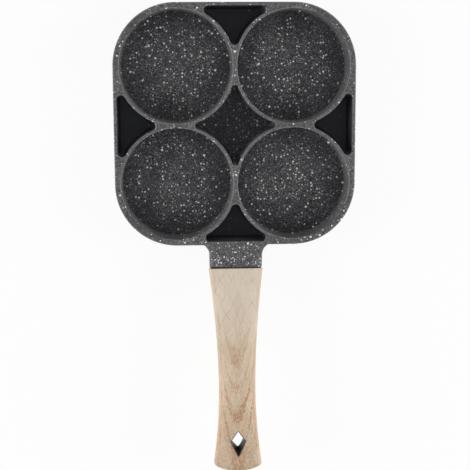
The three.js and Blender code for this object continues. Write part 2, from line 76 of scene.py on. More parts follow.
# The steel plate in the base.
PLATE_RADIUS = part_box("induction_plate")[1].x
PLATE_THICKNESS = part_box("induction_plate")[1].z
PLATE_PROUD = 0.0003
PLATE_EDGE = 0.00015
PERFORATION_PITCH = 0.020
PERFORATIONS_INSIDE = 6  # in the innermost ring
PERFORATION_RADIUS = 0.0045

# The lug and the tang.
HANDLE_RISE = radians(9)
LUG_WIDTH = 0.042
LUG_HEIGHT = 0.0184
LUG_LENGTH = 0.019
LUG_SIDE_FILLET = 0.0105
LUG_UNDER_FILLET = 0.0046
LUG_BELOW_RIM = 0.0002
LUG_ROOT = -SIDE_WALL / 2  # the lug starts inside the wall
LUG_TOP_START = -0.001  # where the lug's top leaves the rim, nearly level with it
LUG_TOP_STEP = 0.00005
LUG_END_EDGE = 0.0002
CORE_WALL = 0.0036
CORE_ROOF = 0.005
CORE_RIB = 0.003
CORE_COUNT = 3
CORE_CORNER = 0.0012
TANG_WIDTH = 0.018
TANG_THICKNESS = 0.006
TANG_LENGTH = 0.044
TANG_LIFT = 0.003
TANG_CORNER = 0.0008

# The gasket and the grip.
GASKET_THICKNESS = 0.0006
GASKET_INSET = 0.0004
GASKET_EDGE = 0.0002
GRIP_PROUD = 0.0007
GRIP_LENGTH = 0.1625
GRIP_FLATTEN = radians(6)  # from the front to the tail
GRIP_WAIST_AT = 0.097
GRIP_WAIST_WIDTH = 0.0293
GRIP_WAIST_HEIGHT = 0.0186
GRIP_TAIL_WIDTH = 0.0387
GRIP_TAIL_HEIGHT = 0.0205
GRIP_SWELL = 1.8
GRIP_FRONT_EDGE = 0.0005
TAIL_BOW_RADIUS = 0.050
TAIL_BOW_REACH = 0.040
TAIL_EDGE_RADIUS = 0.001
SECTION_POWER = 3.6
LUG_ROOT_POWER = 16
HOLE_FROM_TAIL = 0.0236
HOLE_WIDTH = 0.0118
HOLE_FRONT = 0.0084
HOLE_BACK = 0.0125
HOLE_WAIST_BACK = 0.0064
HOLE_CORNER_RADIUS = 0.0006
HOLE_EDGE_RADIUS = 0.0002  # of the wood round the hole
LINER_WALL = 0.0005
LINER_GAP = 0.00005
LINER_RECESS = 0.00015
LINER_EDGE = 0.0002

# The screws and washers.
SCREWS_FROM_FRONT = {"front": 0.014, "rear": 0.034}
SCREW_RADIUS = 0.0025
SCREW_HEAD_RADIUS = 0.0046
SCREW_HEAD_HEIGHT = 0.0028
SCREW_HEAD_EDGE = 0.001
SCREW_TIP_CHAMFER = 0.0006
RECESS_LENGTH = 0.005
RECESS_WIDTH = 0.0011
RECESS_DEPTH = 0.0015
RECESS_CORNER = 0.00022
LOCK_WASHER_RADIUS = 0.0043
LOCK_WASHER_THICKNESS = 0.0012
SPLIT_WIDTH = 0.0008
SPLIT_LEAN = radians(20)
FLAT_WASHER_RADIUS = 0.005
FLAT_WASHER_THICKNESS = 0.001
WASHER_EDGE = 0.00015
SEAT_WOOD = 0.0032  # between the tang and the washers
FIT_GAP = 0.0003
OVERCUT = 0.002

# How finely the round stretches are divided.
CUP_STEPS = 144
CORNER_STEPS = 36
RING_STEPS = 28
TIP_STEPS = 10
EDGE_STEPS = 6
FOOT_STEPS = 10
SECTION_STEPS = 96
LUG_STATIONS = 14
GRIP_STATIONS = 72
ROUND_STEPS = 40
PERFORATION_STEPS = 28
HOLE_STEPS = 10
WELD_REACH = 0.000005
SMOOTH_ANGLE = radians(38)  # edges sharper than this stay sharp

# Sizes worked out from the values above.
BASE_HALF = BODY_HALF - (RIM_HEIGHT - PLATE_PROUD) * tan(BODY_DRAFT) - BASE_EDGE_RADIUS
GASKET_START = LUG_LENGTH + FIT_GAP
GRIP_START = GASKET_START + GASKET_THICKNESS + FIT_GAP
GRIP_BEND_RADIUS = GRIP_LENGTH / GRIP_FLATTEN
TANG_BOTTOM = TANG_LIFT - TANG_THICKNESS / 2
TANG_TOP = TANG_LIFT + TANG_THICKNESS / 2
SEAT_LEVEL = TANG_BOTTOM - FIT_GAP - SEAT_WOOD
FLAT_WASHER_TOP = SEAT_LEVEL - FIT_GAP
LOCK_WASHER_TOP = FLAT_WASHER_TOP - FLAT_WASHER_THICKNESS - FIT_GAP
SCREW_HEAD_TOP = LOCK_WASHER_TOP - LOCK_WASHER_THICKNESS - FIT_GAP
SCREW_BORE_RADIUS = SCREW_RADIUS + FIT_GAP
LUG_MIDDLE = RIM_HEIGHT - LUG_BELOW_RIM - LUG_HEIGHT / 2 * cos(HANDLE_RISE)
# X across the handle, Y up out of the grip, Z along it away from the pan.
HANDLE = Matrix.Translation((0, -BODY_HALF, LUG_MIDDLE)) @ Matrix.Rotation(pi / 2 - HANDLE_RISE, 4, "X")
LYING = Matrix.Rotation(-pi / 2, 4, "X")  # turns a body about Z into one about Y


# Outlines, as lists of points that run counter-clockwise.
def arc(x, y, radius, start, end, steps):
    angles = [start + (end - start) * i / steps for i in range(steps + 1)]
    return [Vector((x + radius * cos(a), y + radius * sin(a))) for a in angles]


def circle(x, y, radius, steps):
    return arc(x, y, radius, 0, 2 * pi, steps)[:-1]


def four_turns(quarter):
    turns = [Matrix.Rotation(i * pi / 2, 2) for i in range(4)]
    return [turn @ point for turn in turns for point in quarter]


def tip_radius(radius, inset):
    return max(radius - inset, LEAST_TIP_RADIUS)


def body_outline(inset):
    return four_turns(arc(CUP_OFFSET, CUP_OFFSET, CORNER_RADIUS - inset, 0, pi / 2, CORNER_STEPS))


def cup_outline(inset):
    return circle(0, 0, CUP_LIP_RADIUS - inset, CUP_STEPS)


def centre_pocket_outline(inset):
    """The star between the four cups."""
    ring = RING_RADIUS + inset
    tip = tip_radius(CENTRE_TIP_RADIUS, inset)
    tip_centre = CUP_OFFSET - sqrt((ring + tip) ** 2 - CUP_OFFSET**2)
    lean = atan2(CUP_OFFSET, CUP_OFFSET - tip_centre)
    return four_turns(
        arc(tip_centre, 0, tip, -lean, lean, TIP_STEPS)[:-1]
        + arc(CUP_OFFSET, CUP_OFFSET, ring, pi + lean, 1.5 * pi - lean, RING_STEPS)[:-1]
    )


def side_pocket_outline(inset):
    """The three-cornered pocket between two cups and the wall on the +X side."""
    ring = RING_RADIUS + inset
    tip = tip_radius(SIDE_TIP_RADIUS, inset)
    corner = tip_radius(SIDE_CORNER_RADIUS, inset)
    corner_x = BODY_HALF - SIDE_WALL - inset - corner
    corner_y = CUP_OFFSET - sqrt((ring + corner) ** 2 - (corner_x - CUP_OFFSET) ** 2)
    corner_lean = atan2(CUP_OFFSET - corner_y, corner_x - CUP_OFFSET)
    tip_centre = CUP_OFFSET + sqrt((ring + tip) ** 2 - CUP_OFFSET**2)
    tip_lean = atan2(CUP_OFFSET, tip_centre - CUP_OFFSET)
    return (
        arc(corner_x, -corner_y, corner, corner_lean - pi, 0, TIP_STEPS)
        + arc(corner_x, corner_y, corner, 0, pi - corner_lean, TIP_STEPS)
        + arc(CUP_OFFSET, CUP_OFFSET, ring, -corner_lean, -tip_lean, RING_STEPS)[1:]
        + arc(tip_centre, 0, tip, pi - tip_lean, pi + tip_lean, TIP_STEPS)[1:]
        + arc(CUP_OFFSET, -CUP_OFFSET, ring, tip_lean, corner_lean, RING_STEPS)[1:-1]
    )


def section(width, height, power=SECTION_POWER):
    """A section of the handle, a rectangle with round corners, the squarer the greater its power."""
    def round_off(value):
        return copysign(abs(value) ** (2 / power), value)

    angles = [2 * pi * i / SECTION_STEPS for i in range(SECTION_STEPS)]
    sides = [(round_off(cos(a)), round_off(sin(a))) for a in angles]
    return [Vector((width / 2 * x, height / 2 * y)) for x, y in sides]


def rounded_box(width, height, corner):
    x = width / 2 - corner
    y = height / 2 - corner
    corners = [(x, y), (-x, y), (-x, -y), (x, -y)]
    points = []
    for i, (cx, cy) in enumerate(corners):
        points += arc(cx, cy, corner, i * pi / 2, (i + 1) * pi / 2, EDGE_STEPS)
    return points


def kite(grow, back):
    """The hanging hole with its front tip along +Y, moved outward by grow with its corner centres kept."""
    half = HOLE_WIDTH / 2
    inset = HOLE_CORNER_RADIUS
    radius = inset + grow
    front_edge = hypot(HOLE_FRONT, half)
    back_edge = hypot(back, half)
    front_lean = atan2(half, HOLE_FRONT)
    back_lean = atan2(half, back)
    front_y = HOLE_FRONT - inset * front_edge / half
    back_y = inset * back_edge / half - back
    side_x = half - inset * (front_edge + back_edge) / (HOLE_FRONT + back)
    side_y = front_y - HOLE_FRONT * side_x / half
    return (
        arc(side_x, side_y, radius, -back_lean, front_lean, TIP_STEPS)
        + arc(0, front_y, radius, front_lean, pi - front_lean, TIP_STEPS)
        + arc(-side_x, side_y, radius, pi - front_lean, pi + back_lean, TIP_STEPS)
        + arc(0, back_y, radius, pi + back_lean, 2 * pi - back_lean, TIP_STEPS)
    )


def raised(outline, height, matrix=Matrix.Identity(4)):
    """An outline's points at a height, moved by a matrix."""
    return [matrix @ Vector((p.x, p.y, height)) for p in outline]


# Mesh building.
def add_ring(bm, points):
    return [bm.verts.new(p) for p in points]


def add_strip(bm, rings):
    """Faces between rings that follow each other."""
    for low, high in zip(rings, rings[1:]):
        for i in range(len(low)):
            j = (i + 1) % len(low)
            bm.faces.new((low[i], low[j], high[j], high[i]))


def fill_between(bm, rings):
    """A flat face inside the first ring, with the other rings as its holes."""
    edges = [bm.edges.get((ring[i - 1], ring[i])) for ring in rings for i in range(len(ring))]
    bmesh.ops.triangle_fill(bm, use_beauty=True, use_dissolve=False, edges=edges)


def strip_cap(bm, ring):
    """Upright strips across a ring that mirrors itself about X and starts on X."""
    count = len(ring)
    half = count // 2
    bm.faces.new((ring[0], ring[1], ring[-1]))
    for i in range(1, half - 1):
        bm.faces.new((ring[i], ring[i + 1], ring[count - i - 1], ring[count - i]))
    bm.faces.new((ring[half - 1], ring[half], ring[half + 1]))


def put_in(name, data):
    made = bpy.data.objects.new(name, data)
    scene.collection.objects.link(made)
    return made


def object_of(bm, name):
    bmesh.ops.recalc_face_normals(bm, faces=bm.faces)
    mesh = bpy.data.meshes.new(name)
    bm.to_mesh(mesh)
    bm.free()
    return put_in(name, mesh)


def loft(name, rings, capped_in_strips=False):
    """A closed body through rings of points."""
    bm = bmesh.new()
    made = [add_ring(bm, ring) for ring in rings]
    add_strip(bm, made)
    for end in (made[0], made[-1]):
        if capped_in_strips:
            strip_cap(bm, end)
        else:
            bm.faces.new(end)
    return object_of(bm, name)


def lathe(name, profile, matrix, closed=False):
    """A round body about Z from [radius, height] pairs; no radius stands for a point on the axis."""
    bm = bmesh.new()
    rings = []
    for radius, height in profile:
        outline = circle(0, 0, radius, ROUND_STEPS if radius else 1)
        rings.append(add_ring(bm, raised(outline, height, matrix)))
    if closed:
        rings.append(rings[0])
    for low, high in zip(rings, rings[1:]):
        for i in range(ROUND_STEPS):
            j = (i + 1) % ROUND_STEPS
            corners = [low[i % len(low)], low[j % len(low)], high[j % len(high)], high[i % len(high)]]
            bm.faces.new(list(dict.fromkeys(corners)))
    return object_of(bm, name)


def cut(target, other, joined=False):
    """Cuts a body with another, or joins it with the other, and removes the other."""
    modifier = target.modifiers.new("cut", "BOOLEAN")
    modifier.operation = "UNION" if joined else "DIFFERENCE"
    modifier.solver = "EXACT"
    modifier.object = other
    depsgraph = bpy.context.evaluated_depsgraph_get()
    mesh = bpy.data.meshes.new_from_object(target.evaluated_get(depsgraph))
    target.modifiers.clear()
    old = target.data
    target.data = mesh
    bpy.data.meshes.remove(old)
    bpy.data.objects.remove(other)


def weld(piece):
    """Merges points that cutting left almost on top of each other, and splits faces with many sides."""
    bm = bmesh.new()
    bm.from_mesh(piece.data)
    bmesh.ops.remove_doubles(bm, verts=bm.verts, dist=WELD_REACH)
    many_sided = [face for face in bm.faces if len(face.verts) > 4]
    bmesh.ops.triangulate(bm, faces=many_sided, ngon_method="BEAUTY")
    bm.to_mesh(piece.data)
    bm.free()


# The pieces.
def hollow_profile(draft, foot_radius):
    """The side of a cup or pocket as [inset, height] pairs, from the rim down to the floor."""
    edge = RIM_EDGE_RADIUS
    rim = arc(-edge, RIM_HEIGHT - edge, edge, pi / 2, 0, EDGE_STEPS)
    foot_x = (RIM_HEIGHT - FLOOR_TOP) * tan(draft) + foot_radius
    foot = arc(foot_x, FLOOR_TOP + foot_radius, foot_radius, pi, 1.5 * pi, FOOT_STEPS)
    return rim + foot


def add_hollow(bm, outline, profile, matrix):
    """The surface of a cup or pocket; gives its ring on the rim."""
    rings = [add_ring(bm, raised(outline(inset), height, matrix)) for inset, height in profile]
    add_strip(bm, rings)
    bm.faces.new(rings[-1])
    return rings[0]


def pan_body():
    bm = bmesh.new()
    cup_profile = hollow_profile(CUP_DRAFT, CUP_FOOT_RADIUS)
    pocket_profile = hollow_profile(POCKET_DRAFT, POCKET_FOOT_RADIUS)
    holes = []
    for x in (-CUP_OFFSET, CUP_OFFSET):
        for y in (-CUP_OFFSET, CUP_OFFSET):
            holes.append(add_hollow(bm, cup_outline, cup_profile, Matrix.Translation((x, y, 0))))
    holes.append(add_hollow(bm, centre_pocket_outline, pocket_profile, Matrix.Identity(4)))
    for i in range(4):
        turn = Matrix.Rotation(i * pi / 2, 4, "Z")
        holes.append(add_hollow(bm, side_pocket_outline, pocket_profile, turn))

    edge = BASE_EDGE_RADIUS
    base = arc(BODY_HALF - BASE_HALF, PLATE_PROUD + edge, edge, 1.5 * pi, pi, FOOT_STEPS)
    edge = RIM_EDGE_RADIUS
    rim = arc(edge, RIM_HEIGHT - edge, edge, pi, pi / 2, EDGE_STEPS)
    outside = [add_ring(bm, raised(body_outline(inset), height)) for inset, height in base + rim]
    add_strip(bm, outside)
    fill_between(bm, [outside[-1]] + holes)

    recess = circle(0, 0, PLATE_RADIUS + FIT_GAP, CUP_STEPS)
    heights = (PLATE_PROUD, PLATE_THICKNESS + FIT_GAP)
    mouth, roof = [add_ring(bm, raised(recess, height)) for height in heights]
    add_strip(bm, [mouth, roof])
    bm.faces.new(roof)
    fill_between(bm, [outside[0], mouth])
    return object_of(bm, "cast_pan")


def flare(radius, distance):
    """How far a fillet stands out at a distance from its root."""
    left = max(radius - distance, 0)
    return radius - sqrt(radius**2 - left**2)


def lug_lift(along):
    """How far the lug's top stands above its straight line, to run level into the rim."""
    slope = sin(HANDLE_RISE)
    straight = slope * along - LUG_BELOW_RIM + LUG_TOP_STEP
    join = 2 * (LUG_BELOW_RIM - LUG_TOP_STEP) / slope - LUG_TOP_START
    if along >= join:
        return 0
    past = max(along - LUG_TOP_START, 0)
    level = slope * past**2 / (2 * (join - LUG_TOP_START))
    return level - straight


def lug():
    stations = [LUG_ROOT]
    for i in range(LUG_STATIONS + 1):
        stations.append(LUG_SIDE_FILLET * (1 - cos(i / LUG_STATIONS * pi / 2)))
    end = arc(0, 0, LUG_END_EDGE, 0, pi / 2, EDGE_STEPS)
    insets = [0] * len(stations) + [LUG_END_EDGE - p.x for p in end]
    stations += [LUG_LENGTH - LUG_END_EDGE + p.y for p in end]
    rings = []
    for along, inset in zip(stations, insets):
        side = flare(LUG_SIDE_FILLET, max(along, 0))
        under = flare(LUG_UNDER_FILLET, max(along, 0))
        lean = tan(HANDLE_RISE + BODY_DRAFT) * (1 - along / LUG_LENGTH)
        lift = lug_lift(along)
        ring = []
        power = LUG_ROOT_POWER + (SECTION_POWER - LUG_ROOT_POWER) * max(along, 0) / LUG_LENGTH
        for p in section(LUG_WIDTH + 2 * (side - inset), LUG_HEIGHT + under - 2 * inset, power):
            y = p.y - under / 2
            y += lift * max(y / LUG_HEIGHT + 0.5, 0)
            ring.append(HANDLE @ Vector((p.x, y, along + (y - LUG_HEIGHT / 2) * lean)))
        rings.append(ring)
    return loft("lug", rings)


def tang(gap, start, end):
    """The tang between two places along the handle, or the room that it needs with a gap round it."""
    outline = rounded_box(TANG_WIDTH + 2 * gap, TANG_THICKNESS + 2 * gap, TANG_CORNER)
    rings = [[HANDLE @ Vector((p.x, p.y + TANG_LIFT, z)) for p in outline] for z in (start, end)]
    return loft("tang", rings)


def lug_core(i):
    inside = LUG_WIDTH - 2 * CORE_WALL
    width = (inside - (CORE_COUNT - 1) * CORE_RIB) / CORE_COUNT
    middle = (i - (CORE_COUNT - 1) / 2) * (width + CORE_RIB)
    outline = rounded_box(width, LUG_LENGTH - 2 * CORE_WALL, CORE_CORNER)
    heights = (-LUG_HEIGHT, LUG_HEIGHT / 2 - CORE_ROOF)
    rings = [[HANDLE @ Vector((p.x + middle, y, p.y + LUG_LENGTH / 2)) for p in outline] for y in heights]
    return loft("core", rings)


def upright(along):
    """The frame of a screw: Z up out of the grip."""
    return HANDLE @ Matrix.Translation((0, 0, GRIP_START + along)) @ LYING


def cylinder(radius, bottom, top, matrix):
    profile = [(0, bottom), (radius, bottom), (radius, top), (0, top)]
    return lathe("cylinder", profile, matrix)


def cast_pan():
    pan = pan_body()
    cut(pan, lug(), joined=True)
    cut(pan, tang(0, LUG_LENGTH - CORE_WALL / 2, GRIP_START + TANG_LENGTH), joined=True)
    for i in range(CORE_COUNT):
        cut(pan, lug_core(i))
    for along in SCREWS_FROM_FRONT.values():
        cut(pan, cylinder(SCREW_BORE_RADIUS, TANG_BOTTOM - OVERCUT, TANG_TOP + OVERCUT, upright(along)))
    return pan


def base_plate():
    bm = bmesh.new()
    rounds = [(0, 0, PLATE_RADIUS, CUP_STEPS, 1)]  # the last says which way the edge draws in
    ring_count = int((PLATE_RADIUS - 2 * PERFORATION_RADIUS) / PERFORATION_PITCH)
    for ring in range(1, ring_count + 1):
        for p in circle(0, 0, ring * PERFORATION_PITCH, ring * PERFORATIONS_INSIDE):
            rounds.append((p.x, p.y, PERFORATION_RADIUS, PERFORATION_STEPS, -1))
    edge = arc(PLATE_EDGE, PLATE_EDGE, PLATE_EDGE, 1.5 * pi, pi, EDGE_STEPS // 2)
    profile = [(p.x, p.y) for p in edge] + [(p.x, PLATE_THICKNESS - p.y) for p in reversed(edge)]
    rims = []
    for x, y, radius, steps, out in rounds:
        rings = []
        for inset, height in profile:
            rings.append(add_ring(bm, raised(circle(x, y, radius - out * inset, steps), height)))
        add_strip(bm, rings)
        rims.append((rings[0], rings[-1]))
    for level in zip(*rims):
        fill_between(bm, list(level))
    return object_of(bm, "base_plate")


def joint_gasket():
    edge = arc(0, GASKET_EDGE, GASKET_EDGE, 1.5 * pi, 2 * pi, EDGE_STEPS // 2)
    front = [(GASKET_EDGE - p.x, p.y) for p in edge]
    back = [(inset, GASKET_THICKNESS - along) for inset, along in reversed(front)]
    rings = []
    for inset, along in front + back:
        spare = 2 * (GASKET_INSET + inset)
        outline = section(LUG_WIDTH - spare, LUG_HEIGHT - spare)
        rings.append([HANDLE @ Vector((p.x, p.y, GASKET_START + along)) for p in outline])
    gasket = loft("joint_gasket", rings)
    cut(gasket, tang(FIT_GAP, GASKET_START - OVERCUT, GRIP_START))
    return gasket


def grip_size(along):
    past_waist = along > GRIP_WAIST_AT
    run = GRIP_LENGTH - GRIP_WAIST_AT if past_waist else GRIP_WAIST_AT
    share = abs((along - GRIP_WAIST_AT) / run) ** GRIP_SWELL
    end_width = GRIP_TAIL_WIDTH if past_waist else LUG_WIDTH + 2 * GRIP_PROUD
    end_height = GRIP_TAIL_HEIGHT if past_waist else LUG_HEIGHT + 2 * GRIP_PROUD
    width = GRIP_WAIST_WIDTH + (end_width - GRIP_WAIST_WIDTH) * share
    height = GRIP_WAIST_HEIGHT + (end_height - GRIP_WAIST_HEIGHT) * share
    return width, height


def grip_frame(along):
    """A frame on the bent middle line of the grip: X across, Y up out of it, Z along it."""
    angle = along / GRIP_BEND_RADIUS
    drop = GRIP_BEND_RADIUS * (1 - cos(angle))
    reach = GRIP_START + GRIP_BEND_RADIUS * sin(angle)
    return HANDLE @ Matrix.Translation((0, -drop, reach)) @ Matrix.Rotation(angle, 4, "X")


def tail_bow(across, along):
    """How far the bowed tail draws a point of the grip back towards the pan."""
    t = min(max((along - GRIP_LENGTH + TAIL_BOW_REACH) / TAIL_BOW_REACH, 0), 1)
    reach = t * t * (3 - 2 * t)
    return reach * (TAIL_BOW_RADIUS - sqrt(TAIL_BOW_RADIUS**2 - across**2))


def grip_blank():
    front = arc(0, 0, GRIP_FRONT_EDGE, 1.5 * pi, 2 * pi, EDGE_STEPS)
    stations = [(GRIP_FRONT_EDGE + p.y, GRIP_FRONT_EDGE - p.x) for p in front]
    tail_start = GRIP_LENGTH - TAIL_EDGE_RADIUS
    for i in range(1, GRIP_STATIONS):
        stations.append((GRIP_FRONT_EDGE + (tail_start - GRIP_FRONT_EDGE) * i / GRIP_STATIONS, 0))
    tail = arc(0, 0, TAIL_EDGE_RADIUS, 0, pi / 2, FOOT_STEPS)
    stations += [(tail_start + p.y, TAIL_EDGE_RADIUS - p.x) for p in tail]
    rings = []
    for along, inset in stations:
        width, height = grip_size(along)
        ring = []
        for p in section(width - 2 * inset, height - 2 * inset):
            place = grip_frame(along - tail_bow(p.x, along))
            ring.append(place @ Vector((p.x, p.y, 0)))
        rings.append(ring)
    return loft("wooden_grip", rings, capped_in_strips=True)


HOLE_AT = GRIP_LENGTH - HOLE_FROM_TAIL
HOLE_FRAME = grip_frame(HOLE_AT) @ LYING
HOLE_DEPTH = grip_size(HOLE_AT)[1]


def kite_rings(profile):
    """Rings of the kite for [grow, height] pairs; its back tip draws in towards the middle of the hole."""
    rings = []
    for grow, height in profile:
        share = abs(height) / (HOLE_DEPTH / 2)
        outline = kite(grow, HOLE_WAIST_BACK + (HOLE_BACK - HOLE_WAIST_BACK) * share)
        rings.append(raised(outline, height, HOLE_FRAME))
    return rings


def through_hole(grow, end):
    """Pairs of [grow, height] from just above the low end of the hole to just below its high end."""
    return [(grow, end * (i / HOLE_STEPS - 1)) for i in range(1, 2 * HOLE_STEPS)]


def hole_cutter():
    """The hole in the wood, opening out with a round edge at both faces."""
    grow = LINER_WALL + LINER_GAP
    edge = HOLE_EDGE_RADIUS
    end = HOLE_DEPTH / 2 - edge
    top = [(grow + edge - p.x, end + p.y) for p in arc(0, 0, edge, 0, pi / 2, EDGE_STEPS)]
    top.append((grow + edge, HOLE_DEPTH / 2 + OVERCUT))
    bottom = [(g, -height) for g, height in reversed(top)]
    return loft("hole", kite_rings(bottom + through_hole(grow, end) + top))


def wooden_grip():
    grip = grip_blank()
    cut(grip, tang(FIT_GAP, 0, GRIP_START + TANG_LENGTH + FIT_GAP))
    cut(grip, hole_cutter())
    for along in SCREWS_FROM_FRONT.values():
        cut(grip, cylinder(SCREW_BORE_RADIUS, SEAT_LEVEL - OVERCUT, TANG_BOTTOM, upright(along)))
        cut(grip, cylinder(FLAT_WASHER_RADIUS + FIT_GAP, -LUG_HEIGHT, SEAT_LEVEL, upright(along)))
    return grip


def hole_liner():
    bm = bmesh.new()
    end = HOLE_DEPTH / 2 - LINER_RECESS
    edge = LINER_EDGE
    lip = arc(0, end - edge, edge, 0, pi / 2, EDGE_STEPS)
    outer = [(LINER_WALL - edge + p.x, p.y) for p in lip]
    inner = [(edge - p.x, p.y) for p in reversed(lip)]
    top = outer + inner
    bottom = [(g, -height) for g, height in reversed(top)]
    inside = through_hole(0, end - edge)[::-1]
    outside = through_hole(LINER_WALL, end - edge)
    rings = [add_ring(bm, ring) for ring in kite_rings(top + inside + bottom + outside)]
    add_strip(bm, rings + [rings[0]])
    return object_of(bm, "hole_liner")


def cross_outline():
    """The outline of a screw's recess, a cross with slightly rounded ends."""
    half = RECESS_WIDTH / 2
    side = half - RECESS_CORNER
    end = RECESS_LENGTH / 2 - RECESS_CORNER
    arm = arc(end, -side, RECESS_CORNER, -pi / 2, 0, EDGE_STEPS)
    arm += arc(end, side, RECESS_CORNER, 0, pi / 2, EDGE_STEPS)
    return four_turns(arm + [Vector((half, half))])


def handle_screw(place, along):
    bottom = SCREW_HEAD_TOP - SCREW_HEAD_HEIGHT
    dome = SCREW_HEAD_HEIGHT - SCREW_HEAD_EDGE
    side = [
        (SCREW_HEAD_RADIUS * p.x, bottom + dome * (1 + p.y))
        for p in arc(0, 0, 1, 1.5 * pi, 2 * pi, FOOT_STEPS)
    ]
    profile = [(0, bottom)] + side[1:] + [
        (SCREW_HEAD_RADIUS, SCREW_HEAD_TOP),
        (SCREW_RADIUS, SCREW_HEAD_TOP),
        (SCREW_RADIUS, TANG_TOP - SCREW_TIP_CHAMFER),
        (SCREW_RADIUS - SCREW_TIP_CHAMFER, TANG_TOP),
        (0, TANG_TOP),
    ]
    screw = lathe("screw_" + place, profile, upright(along))
    heights = (bottom - OVERCUT, bottom + RECESS_DEPTH)
    rings = [raised(cross_outline(), height, upright(along)) for height in heights]
    cut(screw, loft("recess", rings))
    return screw


def washer(name, radius, top, thickness, along):
    bore = SCREW_BORE_RADIUS
    bottom = top - thickness
    edge = WASHER_EDGE
    profile = [
        (bore + edge, bottom), (radius - edge, bottom), (radius, bottom + edge),
        (radius, top - edge), (radius - edge, top), (bore + edge, top),
        (bore, top - edge), (bore, bottom + edge),
    ]
    return lathe(name, profile, upright(along), closed=True)


def flat_washer(place, along):
    name = "flat_washer_ring_" + place
    return washer(name, FLAT_WASHER_RADIUS, FLAT_WASHER_TOP, FLAT_WASHER_THICKNESS, along)


def split_washer(place, along):
    name = "split_washer_" + place
    ring = washer(name, LOCK_WASHER_RADIUS, LOCK_WASHER_TOP, LOCK_WASHER_THICKNESS, along)
    middle = Vector((0, 0, LOCK_WASHER_TOP - LOCK_WASHER_THICKNESS / 2))
    lean = upright(along) @ Matrix.Translation(middle) @ Matrix.Rotation(SPLIT_LEAN, 4, "X")
    outline = rounded_box(SPLIT_WIDTH, 2 * LOCK_WASHER_THICKNESS + OVERCUT, WASHER_EDGE)
    ends = (0, LOCK_WASHER_RADIUS + OVERCUT)
    rings = [[lean @ Vector((x, p.x, p.y)) for p in outline] for x in ends]
    cut(ring, loft("split", rings))
    return ring


# Materials.
class Nodes:
    """Nodes of a material or of the world, with short ways to add them."""

    def __init__(self, owner):
        owner.use_nodes = True
        self.tree = owner.node_tree
        self.tree.nodes.clear()

    def add(self, kind, inputs=None, **settings):
        node = self.tree.nodes.new("ShaderNode" + kind)
        for name, value in settings.items():
            setattr(node, name, value)
        for name, value in (inputs or {}).items():
            self.feed(node.inputs[name], value)
        return node

    def feed(self, socket, value):
        if isinstance(value, bpy.types.NodeSocket):
            self.tree.links.new(value, socket)
        else:
            socket.default_value = value

    def math(self, operation, *values):
        return self.add("Math", dict(enumerate(values)), operation=operation).outputs[0]

    def vector(self, operation, *values):
        return self.add("VectorMath", dict(enumerate(values)), operation=operation).outputs

    def axes(self, place):
        return self.add("SeparateXYZ", {"Vector": place}).outputs

    def product(self, first, *others):
        for value in others:
            first = self.math("MULTIPLY", first, value)
        return first

    def total(self, first, *others):
        for value in others:
            first = self.math("ADD", first, value)
        return first

    def rest(self, share):
        """What a share leaves of the whole."""
        return self.math("SUBTRACT", 1.0, share)

    def ramp(self, value, low, high, to_low=0.0, to_high=1.0):
        inputs = {"Value": value, "From Min": low, "From Max": high, "To Min": to_low, "To Max": to_high}
        return self.add("MapRange", inputs, interpolation_type="SMOOTHSTEP").outputs["Result"]

    def mix(self, share, first, second):
        """A colour between two others; sockets 6 and 7 and output 2 are the node's colours."""
        return self.add("Mix", {0: share, 6: first, 7: second}, data_type="RGBA").outputs[2]

    def layers(self, colour, *layers):
        """A colour with others laid over it in turn, each by its share."""
        for share, layer in layers:
            colour = self.mix(share, colour, layer)
        return colour

    def noise(self, place, size, detail=2.0, output="Fac"):
        inputs = {"Vector": place, "Scale": 1 / size, "Detail": detail}
        return self.add("TexNoise", inputs).outputs[output]

    def stretched(self, place, scale, turn=(0, 0, 0)):
        inputs = {"Vector": place, "Scale": scale, "Rotation": turn}
        return self.add("Mapping", inputs).outputs["Vector"]

    def seen_directly(self):
        """1 for what the camera sees, directly or in a mirror or through glass."""
        rays = self.add("LightPath").outputs
        seen = rays["Is Camera Ray"]
        for kind in ("Is Glossy Ray", "Is Transmission Ray"):
            seen = self.math("MAXIMUM", seen, rays[kind])
        return seen

    def blend(self, share, first, second):
        inputs = {0: share, 1: first.outputs[0], 2: second.outputs[0]}
        return self.add("MixShader", inputs).outputs[0]


class Shader(Nodes):
    """A material of one surface."""

    def __init__(self, name):
        self.material = bpy.data.materials.new(name)
        super().__init__(self.material)
        self.surface = self.add("BsdfPrincipled")
        self.add("OutputMaterial", {"Surface": self.surface.outputs["BSDF"]})
        self.place = self.add("TexCoord").outputs["Object"]

    def set(self, **inputs):
        for name, value in inputs.items():
            self.feed(self.surface.inputs[name.replace("_", " ")], value)

    def bump(self, height, distance, strength):
        inputs = {"Height": height, "Distance": distance, "Strength": strength}
        self.set(Normal=self.add("Bump", inputs).outputs["Normal"])


# Each range says where a change starts and ends, in metres or in a noise's tone, and then how strong it is
# there, if that isn't 0 and 1.

# The coat of the pan.
COAT_DARK = (0.045, 0.0455, 0.048, 1)
COAT_LIGHT = (0.125, 0.125, 0.128, 1)
# Painted light: the rim's top is lighter than the floors.
COAT_LIT_TOP = (0.150, 0.150, 0.152, 1)
# Painted highlight along the rim's rounded edges.
COAT_EDGE_HIGHLIGHT = (0.195, 0.195, 0.197, 1)
# Painted light: the cups' walls are lighter than their floors.
COAT_LIT_WALL = (0.130, 0.131, 0.135, 1)
# Painted shade in the pockets, and deeper painted shade in the star between the cups.
POCKET_SHADE = (0.047, 0.049, 0.060, 1)
STAR_DEEP_SHADE = (0.015, 0.016, 0.019, 1)
